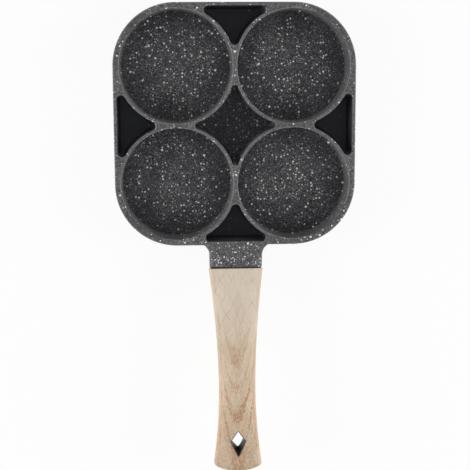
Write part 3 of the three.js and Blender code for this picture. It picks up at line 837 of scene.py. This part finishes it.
# Painted shade: the cups' floors take darker tones than the rest of the coat.
SHADED_FLOOR_DARK = (0.0255, 0.0265, 0.0305, 1)
SHADED_FLOOR_LIGHT = (0.111, 0.112, 0.117, 1)
ABOVE_BASE = FLOOR_TOP - 0.0003
CUP_EDGE = CUP_LIP_RADIUS + RIM_EDGE_RADIUS / 3
CUP_FLOOR = (FLOOR_TOP + 0.0007, FLOOR_TOP + 0.0003)  # in height
WALL_INSIDE = BODY_HALF - SIDE_WALL
# Where the pockets get painted shade.
POCKET_RING = (RING_RADIUS - 0.0005, RING_RADIUS)  # from the cup's middle
POCKET_WALL = (WALL_INSIDE + 0.0002, WALL_INSIDE - 0.0001)
POCKET_REACH = (0.0275, 0.026)
POCKET_TOP = (RIM_HEIGHT - 0.0005, RIM_HEIGHT - 0.0014)
# Where the rim's top in the pan's corners gets painted shade and a calmer painted highlight.
CORNER_REACH = (0.052, 0.072)
CORNER_RIM = (CORNER_RADIUS - 0.0010, CORNER_RADIUS - 0.0020)
# Where the side strips of the rim get a calmer painted highlight.
STRIP_RIM = (WALL_INSIDE - 0.0010, WALL_INSIDE)
STRIP_REACH = (0.034, 0.028)
# Where the rim's top gets painted light.
RIM_TOP = (RIM_HEIGHT - 0.0009, RIM_HEIGHT - 0.0003)
# Where the rim's rounded edges get a painted highlight.
RIM_EDGE_LOW = (RIM_HEIGHT - 0.0011, RIM_HEIGHT - 0.0006)
RIM_EDGE_HIGH = (RIM_HEIGHT - 0.00001, RIM_HEIGHT - 0.00008)
GRAIN_SIZE = 0.0012
CLOUD_SIZE = 0.02
CLOUD_SHARE = 0.25
COAT_TONES = (0.36, 0.66)
FLOOR_TONES = (0.38, 0.66)
FLOOR_WALL_SHADE = (0.041, 0.018, -0.03, 0.03)  # from the cup's middle; painted shade, darker near the cup's wall
LIT_WALL_TONES = (0.3, 0.6, 0.45, 0.9)
LIT_TOP_TONES = (0.3, 0.6, 0.05, 0.55)
STAR_DEEP_SHADE_TONES = (0.62, 0.40, 0, 0.8)
EDGE_HIGHLIGHT_SHARE = 0.75
STRIP_HIGHLIGHT_CALM = 0.7
CORNER_SHADE = 0.4
STAR_SHADE = 0.62
COAT_ROUGHNESS = (0.2, 0.8, 0.42, 0.6)
COAT_SPECULAR = 0.2
COAT_RELIEF = (0.00012, 0.5)  # height and strength

SPECK_WHITE = (0.95, 0.95, 0.94, 1)
SPECK_GREY = (0.40, 0.40, 0.40, 1)
SPECK_DULL = (0.17, 0.17, 0.172, 1)
SPECK_BLACK = (0.004, 0.004, 0.0045, 1)
SPECKS = (  # cell, greatest radius, share of the cells that have one, dullest and brightest colour
    (0.0010, 0.00034, 0.50, SPECK_DULL, SPECK_GREY),
    (0.0012, 0.00042, 0.70, SPECK_BLACK, SPECK_BLACK),
    (0.0033, 0.00080, 0.60, SPECK_BLACK, SPECK_BLACK),
    (0.0013, 0.00052, 0.54, SPECK_DULL, SPECK_WHITE),
    (0.0024, 0.00082, 0.40, SPECK_DULL, SPECK_WHITE),
    (0.0048, 0.00108, 0.32, SPECK_GREY, SPECK_WHITE),
)
SPECK_LEAST = 0.6  # the smallest speck against the greatest
SPECK_CORE = 0.8  # how much of a speck lies inside its soft edge
SPECK_LIGHTNESS = (0.1, 0.75)
SPECK_RELIEF = 0.4
SPECK_WARP = 0.0006
WARP_SIZE = 0.0010
FLOOR_SPECKS = (0.0430, 0.020, 0.34, 1.15)  # from the cup's middle
CLOUD_SPECKS = (0.35, 0.65, 0.65, 1.15)
RIM_SPECKS = (0, 1, 0.60, 0.78)  # on the pan and on the lug
POCKET_BARE = 0.94
STAR_PLENTY = 0.4
# Painted shade: the specks in the star are dimmer.
STAR_SPECK_SHADE = 0.55


def specks(look, place, cell, radius, share):
    """Round specks scattered one to a cell at most, as a mask, and how bright each of them is."""
    voronoi = look.add("TexVoronoi", {"Vector": place, "Scale": 1 / cell}).outputs
    chance = look.add("SeparateColor", {"Color": voronoi["Color"]}).outputs
    size = look.ramp(chance["Green"], 0, 1, SPECK_LEAST * radius / cell, radius / cell)
    spot = look.ramp(voronoi["Distance"], size, look.product(size, SPECK_CORE))
    there = look.math("LESS_THAN", chance["Red"], share)
    return look.product(spot, there), look.ramp(chance["Blue"], *SPECK_LIGHTNESS)


def pan_places(look):
    """A place's axes, its distance from its cup's middle, and masks of pockets and parts of the rim."""
    axes = look.axes(look.place)
    x, y = [look.math("ABSOLUTE", axes[name]) for name in "XY"]
    to_cup = [look.math("SUBTRACT", value, CUP_OFFSET) for value in (x, y)]
    from_cup = look.math("SQRT", look.total(*[look.product(value, value) for value in to_cup]))
    far = look.math("MAXIMUM", x, y)
    near = look.math("MINIMUM", x, y)
    pocket = look.product(
        look.ramp(from_cup, *POCKET_RING),
        look.ramp(far, *POCKET_WALL),
        look.ramp(near, *POCKET_REACH),
        look.ramp(axes["Z"], *POCKET_TOP),
        look.math("GREATER_THAN", axes["Z"], ABOVE_BASE),
    )
    side_pocket = look.product(pocket, look.math("GREATER_THAN", far, CUP_OFFSET))
    star = look.math("SUBTRACT", pocket, side_pocket)
    corner = look.product(look.ramp(near, *CORNER_REACH), look.ramp(from_cup, *CORNER_RIM))
    strip = look.product(look.ramp(far, *STRIP_RIM), look.ramp(near, *STRIP_REACH))
    return axes, from_cup, side_pocket, star, corner, strip


def stone_coat():
    look = Shader("stone_coat")
    axes, from_cup, side_pocket, star, corner, strip = pan_places(look)
    height = axes["Z"]
    in_cup = look.product(
        look.math("LESS_THAN", from_cup, CUP_EDGE),
        look.math("GREATER_THAN", height, ABOVE_BASE),
    )
    # Where the cups' floors get painted shade.
    low = look.ramp(height, *CUP_FLOOR)
    # Where the cups' walls get painted light.
    wall = look.product(in_cup, look.rest(low))
    # Where the rim's top gets painted light.
    top = look.ramp(height, *RIM_TOP)
    # Where the rim's rounded edges get a painted highlight, calmer in the corners and on the side strips.
    edges = look.product(look.ramp(height, *RIM_EDGE_LOW), look.ramp(height, *RIM_EDGE_HIGH))
    edge_highlight_reach = look.rest(look.math("MAXIMUM", corner, look.product(strip, STRIP_HIGHLIGHT_CALM)))

    grain = look.noise(look.place, GRAIN_SIZE, 3)
    cloud = look.noise(look.place, CLOUD_SIZE)
    tone = look.total(grain, look.product(look.math("SUBTRACT", cloud, 0.5), CLOUD_SHARE))
    # Painted shade: the floor's tone falls towards the cup's wall.
    floor_shade_tone = look.total(tone, look.ramp(from_cup, *FLOOR_WALL_SHADE))
    floor_shade_colour = look.mix(look.ramp(floor_shade_tone, *FLOOR_TONES), SHADED_FLOOR_DARK, SHADED_FLOOR_LIGHT)
    colour = look.layers(
        look.mix(look.ramp(tone, *COAT_TONES), COAT_DARK, COAT_LIGHT),
        # Painted shade on the cups' floors.
        (look.product(in_cup, low), floor_shade_colour),
        # Painted light on the cups' walls.
        (look.product(wall, look.ramp(tone, *LIT_WALL_TONES)), COAT_LIT_WALL),
        # Painted light on the rim's top.
        (look.product(top, look.ramp(tone, *LIT_TOP_TONES)), COAT_LIT_TOP),
        # Painted highlight on the rim's rounded edges.
        (look.product(edges, edge_highlight_reach, EDGE_HIGHLIGHT_SHARE), COAT_EDGE_HIGHLIGHT),
        # Painted shade on the rim's top in the pan's corners.
        (look.product(top, corner, CORNER_SHADE), COAT_DARK),
        # Painted shade in the side pockets, and partly in the star.
        (look.math("MAXIMUM", side_pocket, look.product(star, STAR_SHADE)), POCKET_SHADE),
        # Deeper painted shade in the star, varied by the grain.
        (look.product(star, look.ramp(grain, *STAR_DEEP_SHADE_TONES)), STAR_DEEP_SHADE),
    )

    warp = look.noise(look.place, WARP_SIZE, output="Color")
    drift = look.vector("MULTIPLY", warp, (SPECK_WARP, SPECK_WARP, SPECK_WARP))[0]
    shifted = look.vector("ADD", look.place, drift)[0]
    on_lug = look.math("LESS_THAN", axes["Y"], -BODY_HALF)
    outside = look.product(
        look.math("GREATER_THAN", from_cup, CUP_LIP_RADIUS),
        look.ramp(on_lug, *RIM_SPECKS),
    )
    plenty = look.product(
        look.math("MAXIMUM", look.ramp(from_cup, *FLOOR_SPECKS), outside),
        look.ramp(cloud, *CLOUD_SPECKS),
        look.rest(look.product(side_pocket, POCKET_BARE)),
        look.total(1.0, look.product(star, STAR_PLENTY)),
    )
    # Painted shade: the specks in the star are dimmer.
    brightness = look.rest(look.product(star, STAR_SPECK_SHADE))
    raised_specks = 0.0
    for cell, radius, share, dull, bright in SPECKS:
        spots, lightness = specks(look, shifted, cell, radius, look.product(plenty, share))
        speck_colour = look.mix(look.product(lightness, brightness), dull, bright)
        colour = look.mix(spots, colour, speck_colour)
        if bright == SPECK_WHITE:
            raised_specks = look.math("MAXIMUM", raised_specks, spots)

    look.set(Base_Color=colour, Roughness=look.ramp(grain, *COAT_ROUGHNESS))
    look.set(Specular_IOR_Level=COAT_SPECULAR)
    look.bump(look.total(grain, look.product(raised_specks, SPECK_RELIEF)), *COAT_RELIEF)
    return look.material


# The wood of the grip. Along starts at its front and across at its middle line.
WOOD_PALE = (0.735, 0.635, 0.520, 1)
WOOD_WARM = (0.735, 0.560, 0.396, 1)
WOOD_TAIL = (0.560, 0.380, 0.245, 1)
WOOD_LATE = (0.430, 0.205, 0.090, 1)
WOOD_LINE = (0.300, 0.200, 0.120, 1)
WOOD_LIGHT = (0.80, 0.69, 0.56, 1)
WOOD_GREY = (0.56, 0.475, 0.345, 1)
# Painted shade on the grip's rounded sides, paler at the front.
WOOD_SIDE_SHADE = (0.49, 0.32, 0.20, 1)
WOOD_SIDE_SHADE_PALE = (0.46, 0.365, 0.270, 1)
SWAY = (0.3, 0.012, 3)  # of this noise and the next four: scale along the grip, size and detail
RIPPLE = (0.5, 0.003, 2)
PATCHES = (0.35, 0.007, 3)
FIBRES = (0.04, 0.0007, 3)
PORES = (0.45, 0.0010, 2)
TAILWARD = (0.045, 0.125)  # along
WARM_ALONG = (0.010, 0.110)
TAIL_ALONG = (0.105, 0.158)
LIGHT_PATCHES = (0.42, 0.72, 0, 0.35)
GREY_PATCHES = (0.56, 0.36, 0, 0.55)

FIGURES = (  # place of the tip along the grip, half width and strength
    (0.0500, 0.0030, 0.16),
    (0.0590, 0.0028, 0.30),
    (0.0675, 0.0042, 0.56),
    (0.079, 0.0018, 0.18),
    (0.091, 0.0042, 0.52),
    (0.102, 0.0020, 0.20),
    (0.1145, 0.0054, 1.0),
    (0.130, 0.0024, 0.22),
    (0.1425, 0.0058, 1.4),
    (0.157, 0.0044, 0.65),
    (0.176, 0.0040, 0.45),
)
FIGURE_CURVE = 230  # how fast the figure's arms run back to the pan, per metre
FIGURE_LEAN = 3  # how far along the grip the figure moves for each step down its side
FIGURE_SWAY = 0.022
FIGURE_RIPPLE = 0.008
FIGURE_PATCHES = (0.25, 0.6, 0.5, 1.0)
FIGURE_MIDDLE = (0.011, 0.003, 0.55, 1.2)  # across
FIGURE_SPREAD = (0.009, 0.001, 1.3, 2.47)
FIGURE_ALONG = (0.024, 0.056)
FIGURE_PORES = (0.40, 0.62)
FIGURE_SPOTS = (0, 1, 0.6, 1.15)  # outside the pores and in them
GROWTH_PITCH = 0.0012
GROWTH_LINES = (0.0007, GROWTH_PITCH, 0, 0.12)

SIDE_SWAY = 0.16
SIDE_SHADE = (0.74, 1.0, 0, 0.62)  # painted shade on the grip's rounded sides, in shares of the grip's half width, like the next two
STREAK_INSIDE = (0.80, 0.86)
STREAK_OUTSIDE = (0.94, 0.88)
STREAK_PATCHES = (0.35, 0.65, 0.25, 0.7)
# The shoulder streaks are the wood's own; their strengthening near the tail is painted shade of the
# rounded edges there.
STREAK_ALONG = (0.135, 0.158, 1, 2.0)
STREAK_SHADES = (0.5, 1)  # of this pair and the next three: strength at the front and at the tail
LATTICE_SHADES = (0.24, 0.14)
DASH_SHADES = (0.08, 0.27)
LIGHT_DASH_SHADES = (0.12, 0.30)
# Painted shade at the grip's tail end.
END_SHADE = (GRIP_LENGTH - 0.006, GRIP_LENGTH - 0.001, 0, 0.3)
LATTICE_LEAN = radians(25)
LATTICE_PITCH = 0.0076
LATTICE_SWAY = 0.010
LATTICE_RIPPLE = 0.0016
LATTICE_LINE = (0.0006, 0.0001)
LATTICE_PATCHES = (0.36, 0.6)
FACET_SHADE = 0.28  # of the greyest and lightest facets between the lattice's lines
DASHES = (0.54, 0.64)
LIGHT_DASHES = (0.46, 0.36)
FIBRE_LINES = (0.52, 0.8, 0, 0.22)
WOOD_ROUGHNESS = (0.3, 0.8, 0.5, 0.65)
WOOD_SPECULAR = 0.25
WOOD_RELIEF = (0.00012, 0.35)
PORE_RELIEF = 0.6


def grip_places(look):
    """Places in the grip: a vector along its length, and how far along, across and up."""
    front = HANDLE @ Vector((0, 0, GRIP_START))
    level = look.vector("SUBTRACT", look.place, tuple(front))[0]
    lengthwise = look.stretched(level, (1, 1, 1), (HANDLE_RISE - GRIP_FLATTEN / 2, 0, 0))
    axes = look.axes(lengthwise)
    return lengthwise, look.product(axes["Y"], -1), axes["X"], axes["Z"]


def shoulder_share(look, along, across):
    """How far out a place lies across the grip, 1 at its side."""
    past_waist = look.math("SUBTRACT", along, GRIP_WAIST_AT)
    half = GRIP_WAIST_WIDTH / 2
    ends = ((-GRIP_WAIST_AT, LUG_WIDTH + 2 * GRIP_PROUD), (GRIP_LENGTH - GRIP_WAIST_AT, GRIP_TAIL_WIDTH))
    for run, width in ends:
        share = look.math("MAXIMUM", look.math("DIVIDE", past_waist, run), 0)
        swell = look.product(look.math("POWER", share, GRIP_SWELL), (width - GRIP_WAIST_WIDTH) / 2)
        half = look.total(half, swell)
    return look.math("DIVIDE", look.math("ABSOLUTE", across), half)


def grip_wood():
    look = Shader("grip_wood")
    lengthwise, along, across, up = grip_places(look)
    tailward = look.ramp(along, *TAILWARD)

    def drawn_out(scale, size, detail):
        return look.noise(look.stretched(lengthwise, (1, scale, 1)), size, detail)

    def towards_tail(front, tail):
        return look.ramp(tailward, 0, 1, front, tail)

    sway, ripple = [look.math("SUBTRACT", drawn_out(*noise), 0.5) for noise in (SWAY, RIPPLE)]
    patchy, fibres, pores = [drawn_out(*noise) for noise in (PATCHES, FIBRES, PORES)]
    colour = look.layers(
        WOOD_PALE,
        (look.ramp(along, *WARM_ALONG), WOOD_WARM),
        (look.ramp(along, *TAIL_ALONG), WOOD_TAIL),
        (look.ramp(patchy, *LIGHT_PATCHES), WOOD_LIGHT),
        (look.product(look.ramp(patchy, *GREY_PATCHES), tailward), WOOD_GREY),
    )

    figure = look.total(
        along,
        look.product(across, across, FIGURE_CURVE),
        look.product(look.math("SUBTRACT", GRIP_WAIST_HEIGHT / 2, up), FIGURE_LEAN),
        look.product(sway, FIGURE_SWAY),
        look.product(ripple, FIGURE_RIPPLE),
    )
    off_middle = look.math("ABSOLUTE", across)
    broken = look.product(
        look.ramp(patchy, *FIGURE_PATCHES),
        look.ramp(off_middle, *FIGURE_MIDDLE),
        look.ramp(look.ramp(pores, *FIGURE_PORES), *FIGURE_SPOTS),
        look.ramp(along, *FIGURE_ALONG),
    )
    spread = look.ramp(off_middle, *FIGURE_SPREAD)
    for tip, half, strength in FIGURES:
        away = look.math("ABSOLUTE", look.math("SUBTRACT", figure, tip))
        band = look.ramp(away, look.product(spread, half), 0)
        colour = look.mix(look.product(band, broken, strength), colour, WOOD_LATE)
    growth = look.ramp(look.math("PINGPONG", figure, GROWTH_PITCH), *GROWTH_LINES)

    outward = look.total(shoulder_share(look, along, across), look.product(sway, SIDE_SWAY))
    streaks = look.product(
        look.ramp(outward, *STREAK_INSIDE),
        look.ramp(outward, *STREAK_OUTSIDE),
        look.ramp(patchy, *STREAK_PATCHES),
        towards_tail(*STREAK_SHADES),
        # Stronger near the tail, as painted shade of the rounded edges there.
        look.ramp(along, *STREAK_ALONG),
    )
    colour = look.layers(
        colour,
        (look.product(growth, tailward), WOOD_LATE),
        (streaks, WOOD_LATE),
        # Painted shade on the grip's rounded sides.
        (look.ramp(outward, *SIDE_SHADE), look.mix(tailward, WOOD_SIDE_SHADE_PALE, WOOD_SIDE_SHADE)),
        # Painted shade at the grip's tail end.
        (look.ramp(along, *END_SHADE), WOOD_LINE),
    )

    facets = []
    for slope in (1, -1):
        slanted = look.total(
            look.product(across, cos(LATTICE_LEAN)),
            look.product(along, slope * sin(LATTICE_LEAN)),
            look.product(sway, LATTICE_SWAY),
            look.product(ripple, LATTICE_RIPPLE),
        )
        facets.append(look.math("FLOOR", look.math("DIVIDE", slanted, LATTICE_PITCH)))
        line = look.product(
            look.ramp(look.math("PINGPONG", slanted, LATTICE_PITCH / 2), *LATTICE_LINE),
            towards_tail(*LATTICE_SHADES),
            look.ramp(patchy, *LATTICE_PATCHES),
        )
        colour = look.mix(line, colour, WOOD_LINE)
    facet = look.add("CombineXYZ", dict(zip("XY", facets))).outputs[0]
    facet_tone = look.add("TexWhiteNoise", {"Vector": facet}).outputs["Value"]
    colour = look.layers(
        colour,
        (look.ramp(facet_tone, 0.5, 1, 0, FACET_SHADE), WOOD_GREY),
        (look.ramp(facet_tone, 0.5, 0, 0, FACET_SHADE), WOOD_LIGHT),
        (look.product(look.ramp(pores, *DASHES), towards_tail(*DASH_SHADES)), WOOD_LATE),
        (look.product(look.ramp(pores, *LIGHT_DASHES), towards_tail(*LIGHT_DASH_SHADES)), WOOD_LIGHT),
        (look.ramp(fibres, *FIBRE_LINES), WOOD_LINE),
    )
    look.set(Base_Color=colour, Roughness=look.ramp(fibres, *WOOD_ROUGHNESS))
    look.set(Specular_IOR_Level=WOOD_SPECULAR)
    look.bump(look.total(fibres, look.product(pores, PORE_RELIEF)), *WOOD_RELIEF)
    return look.material


# The small pieces.
LINER_COLOURS = ((0.022, 0.022, 0.023, 1), (0.045, 0.044, 0.043, 1))
LINER_GRAIN = (0.0008, 0.00004, 0.4)  # size, height and strength
LINER_ROUGHNESS = (0.2, 0.8, 0.28, 0.42)
GASKET_COLOURS = ((0.028, 0.02, 0.015, 1), (0.06, 0.044, 0.034, 1))
GASKET_GRAIN = (0.0005, 0.00005, 0.5)
GASKET_ROUGHNESS = (0.2, 0.8, 0.7, 0.9)
PLATE_STEEL = (0.55, 0.55, 0.56)
SCREW_STEEL = (0.66, 0.66, 0.67)
STEEL_DULL = 0.6  # the dull lines against the bright ones
TURNING_SIZE = 0.0006
BLOTCH_SIZE = 0.012
STEEL_ROUGHNESS = (0.3, 0.7, 0.24, 0.4)
STEEL_RELIEF = (0.00002, 0.3)


def grained(name, colours, grain_form, roughness):
    """A dark material with a fine grain."""
    look = Shader(name)
    size, *relief = grain_form
    grain = look.noise(look.place, size, 3)
    look.set(Base_Color=look.mix(grain, *colours), Roughness=look.ramp(grain, *roughness))
    look.bump(grain, *relief)
    return look.material


def turned_steel(name, middle, tone):
    """Steel with fine turning lines round an upright line through the middle."""
    look = Shader(name)
    place = look.vector("SUBTRACT", look.place, middle)[0]
    reach = look.vector("LENGTH", look.vector("MULTIPLY", place, (1, 1, 0))[0])["Value"]
    inputs = {"W": reach, "Scale": 1 / TURNING_SIZE, "Detail": 4}
    lines = look.add("TexNoise", inputs, noise_dimensions="1D").outputs["Fac"]
    shade = look.product(lines, look.total(look.noise(place, BLOTCH_SIZE, 3), 0.5))
    dull, bright = [tuple(share * c for c in tone) + (1,) for share in (STEEL_DULL, 1)]
    look.set(Base_Color=look.mix(shade, dull, bright), Metallic=1.0)
    look.set(Roughness=look.ramp(lines, *STEEL_ROUGHNESS))
    look.bump(lines, *STEEL_RELIEF)
    return look.material


def fit_out(piece, material, slot, *nodes):
    """Shades a piece, gives it its material and puts it in the place of its CAD nodes."""
    weld(piece)
    piece.data.shade_smooth()
    piece.data.set_sharp_from_angle(angle=SMOOTH_ANGLE)
    piece.modifiers.new("normals", "WEIGHTED_NORMAL").keep_sharp = True
    piece.data.materials.clear()
    piece.data.materials.append(material)
    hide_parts(*nodes)
    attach(piece, "root")


# The object.
fit_out(cast_pan(), stone_coat(), "stone_coat", "pan_casting")
fit_out(wooden_grip(), grip_wood(), "grip_wood", "grip")
liner_plastic = grained("liner_plastic", LINER_COLOURS, LINER_GRAIN, LINER_ROUGHNESS)
fit_out(hole_liner(), liner_plastic, "liner_plastic", "hang_hole_liner")
gasket_rubber = grained("gasket_rubber", GASKET_COLOURS, GASKET_GRAIN, GASKET_ROUGHNESS)
fit_out(joint_gasket(), gasket_rubber, "gasket_rubber", "heat_gasket")
plate_steel = turned_steel("plate_steel", (0, 0, 0), PLATE_STEEL)
fit_out(base_plate(), plate_steel, "plate_steel", "induction_plate")
for place, along in SCREWS_FROM_FRONT.items():
    screw_middle = tuple(upright(along) @ Vector((0, 0, SCREW_HEAD_TOP)))
    steel = turned_steel("screw_steel_" + place, screw_middle, SCREW_STEEL)
    fit_out(handle_screw(place, along), steel, "screw_steel", "handle_screw_" + place)
    fit_out(split_washer(place, along), steel, "screw_steel", "lock_washer_" + place)
    fit_out(flat_washer(place, along), steel, "screw_steel", "flat_washer_" + place)


# The stage.
FLOOR_HALF = 4.0
FLOOR_WHITE = (0.95, 0.95, 0.95, 1)
BACKDROP = (0.45, 1.1, 0.91, 1)  # the backdrop's part in the floor's white, the rest shows the shadow
WORLD_WHITE = (1, 1, 1, 1)
WORLD_LIGHT = 0.22
SOFTBOX_SIZE = 0.8
SOFTBOXES = {  # place and power
    "left": ((-1.2, -0.1, 0.42), 13.0),
    "right": ((1.2, -0.1, 0.42), 13.0),
    "far": ((0, 1.2, 0.6), 3.5),
    "near": ((0, -1.3, 0.6), 5.0),
}


def white_floor():
    bm = bmesh.new()
    corners = four_turns([Vector((FLOOR_HALF, FLOOR_HALF))])
    bm.faces.new(add_ring(bm, raised(corners, 0)))
    floor = object_of(bm, "floor")
    material = bpy.data.materials.new("white_floor")
    nodes = Nodes(material)
    place = nodes.add("TexCoord").outputs["Object"]
    backdrop = nodes.ramp(nodes.vector("LENGTH", place)["Value"], *BACKDROP)
    diffuse = nodes.add("BsdfDiffuse", {"Color": FLOOR_WHITE})
    glow = nodes.add("Emission")
    mixed = nodes.blend(nodes.product(nodes.seen_directly(), backdrop), diffuse, glow)
    nodes.add("OutputMaterial", {"Surface": mixed})
    floor.data.materials.append(material)


def white_world():
    world = bpy.data.worlds.new("white_world")
    nodes = Nodes(world)
    light = nodes.add("Background", {"Color": WORLD_WHITE, "Strength": WORLD_LIGHT})
    white = nodes.add("Background", {"Color": WORLD_WHITE})
    nodes.add("OutputWorld", {"Surface": nodes.blend(nodes.seen_directly(), light, white)})
    scene.world = world


def softbox(name, place, power):
    light = bpy.data.lights.new(name, "AREA")
    light.shape = "SQUARE"
    light.size = SOFTBOX_SIZE
    light.energy = power
    lamp = put_in("softbox_" + name, light)
    lamp.location = place
    lamp.rotation_mode = "QUATERNION"
    lamp.rotation_quaternion = (-Vector(place)).to_track_quat("-Z", "Y")


def camera():
    data = bpy.data.cameras.new("camera")
    data.sensor_width = CAMERA_SENSOR
    data.lens = CAMERA_LENS
    made = put_in("camera", data)
    turn = Matrix.Identity(4)
    for axis, angle in CAMERA_TURNS.items():
        turn = turn @ Matrix.Rotation(radians(angle), 4, axis)
    made.matrix_world = Matrix.Translation(CAMERA_PLACE) @ turn
    scene.camera = made


white_floor()
white_world()
for name, (place, power) in SOFTBOXES.items():
    softbox(name, place, power)
camera()
scene.view_settings.view_transform = "Standard"
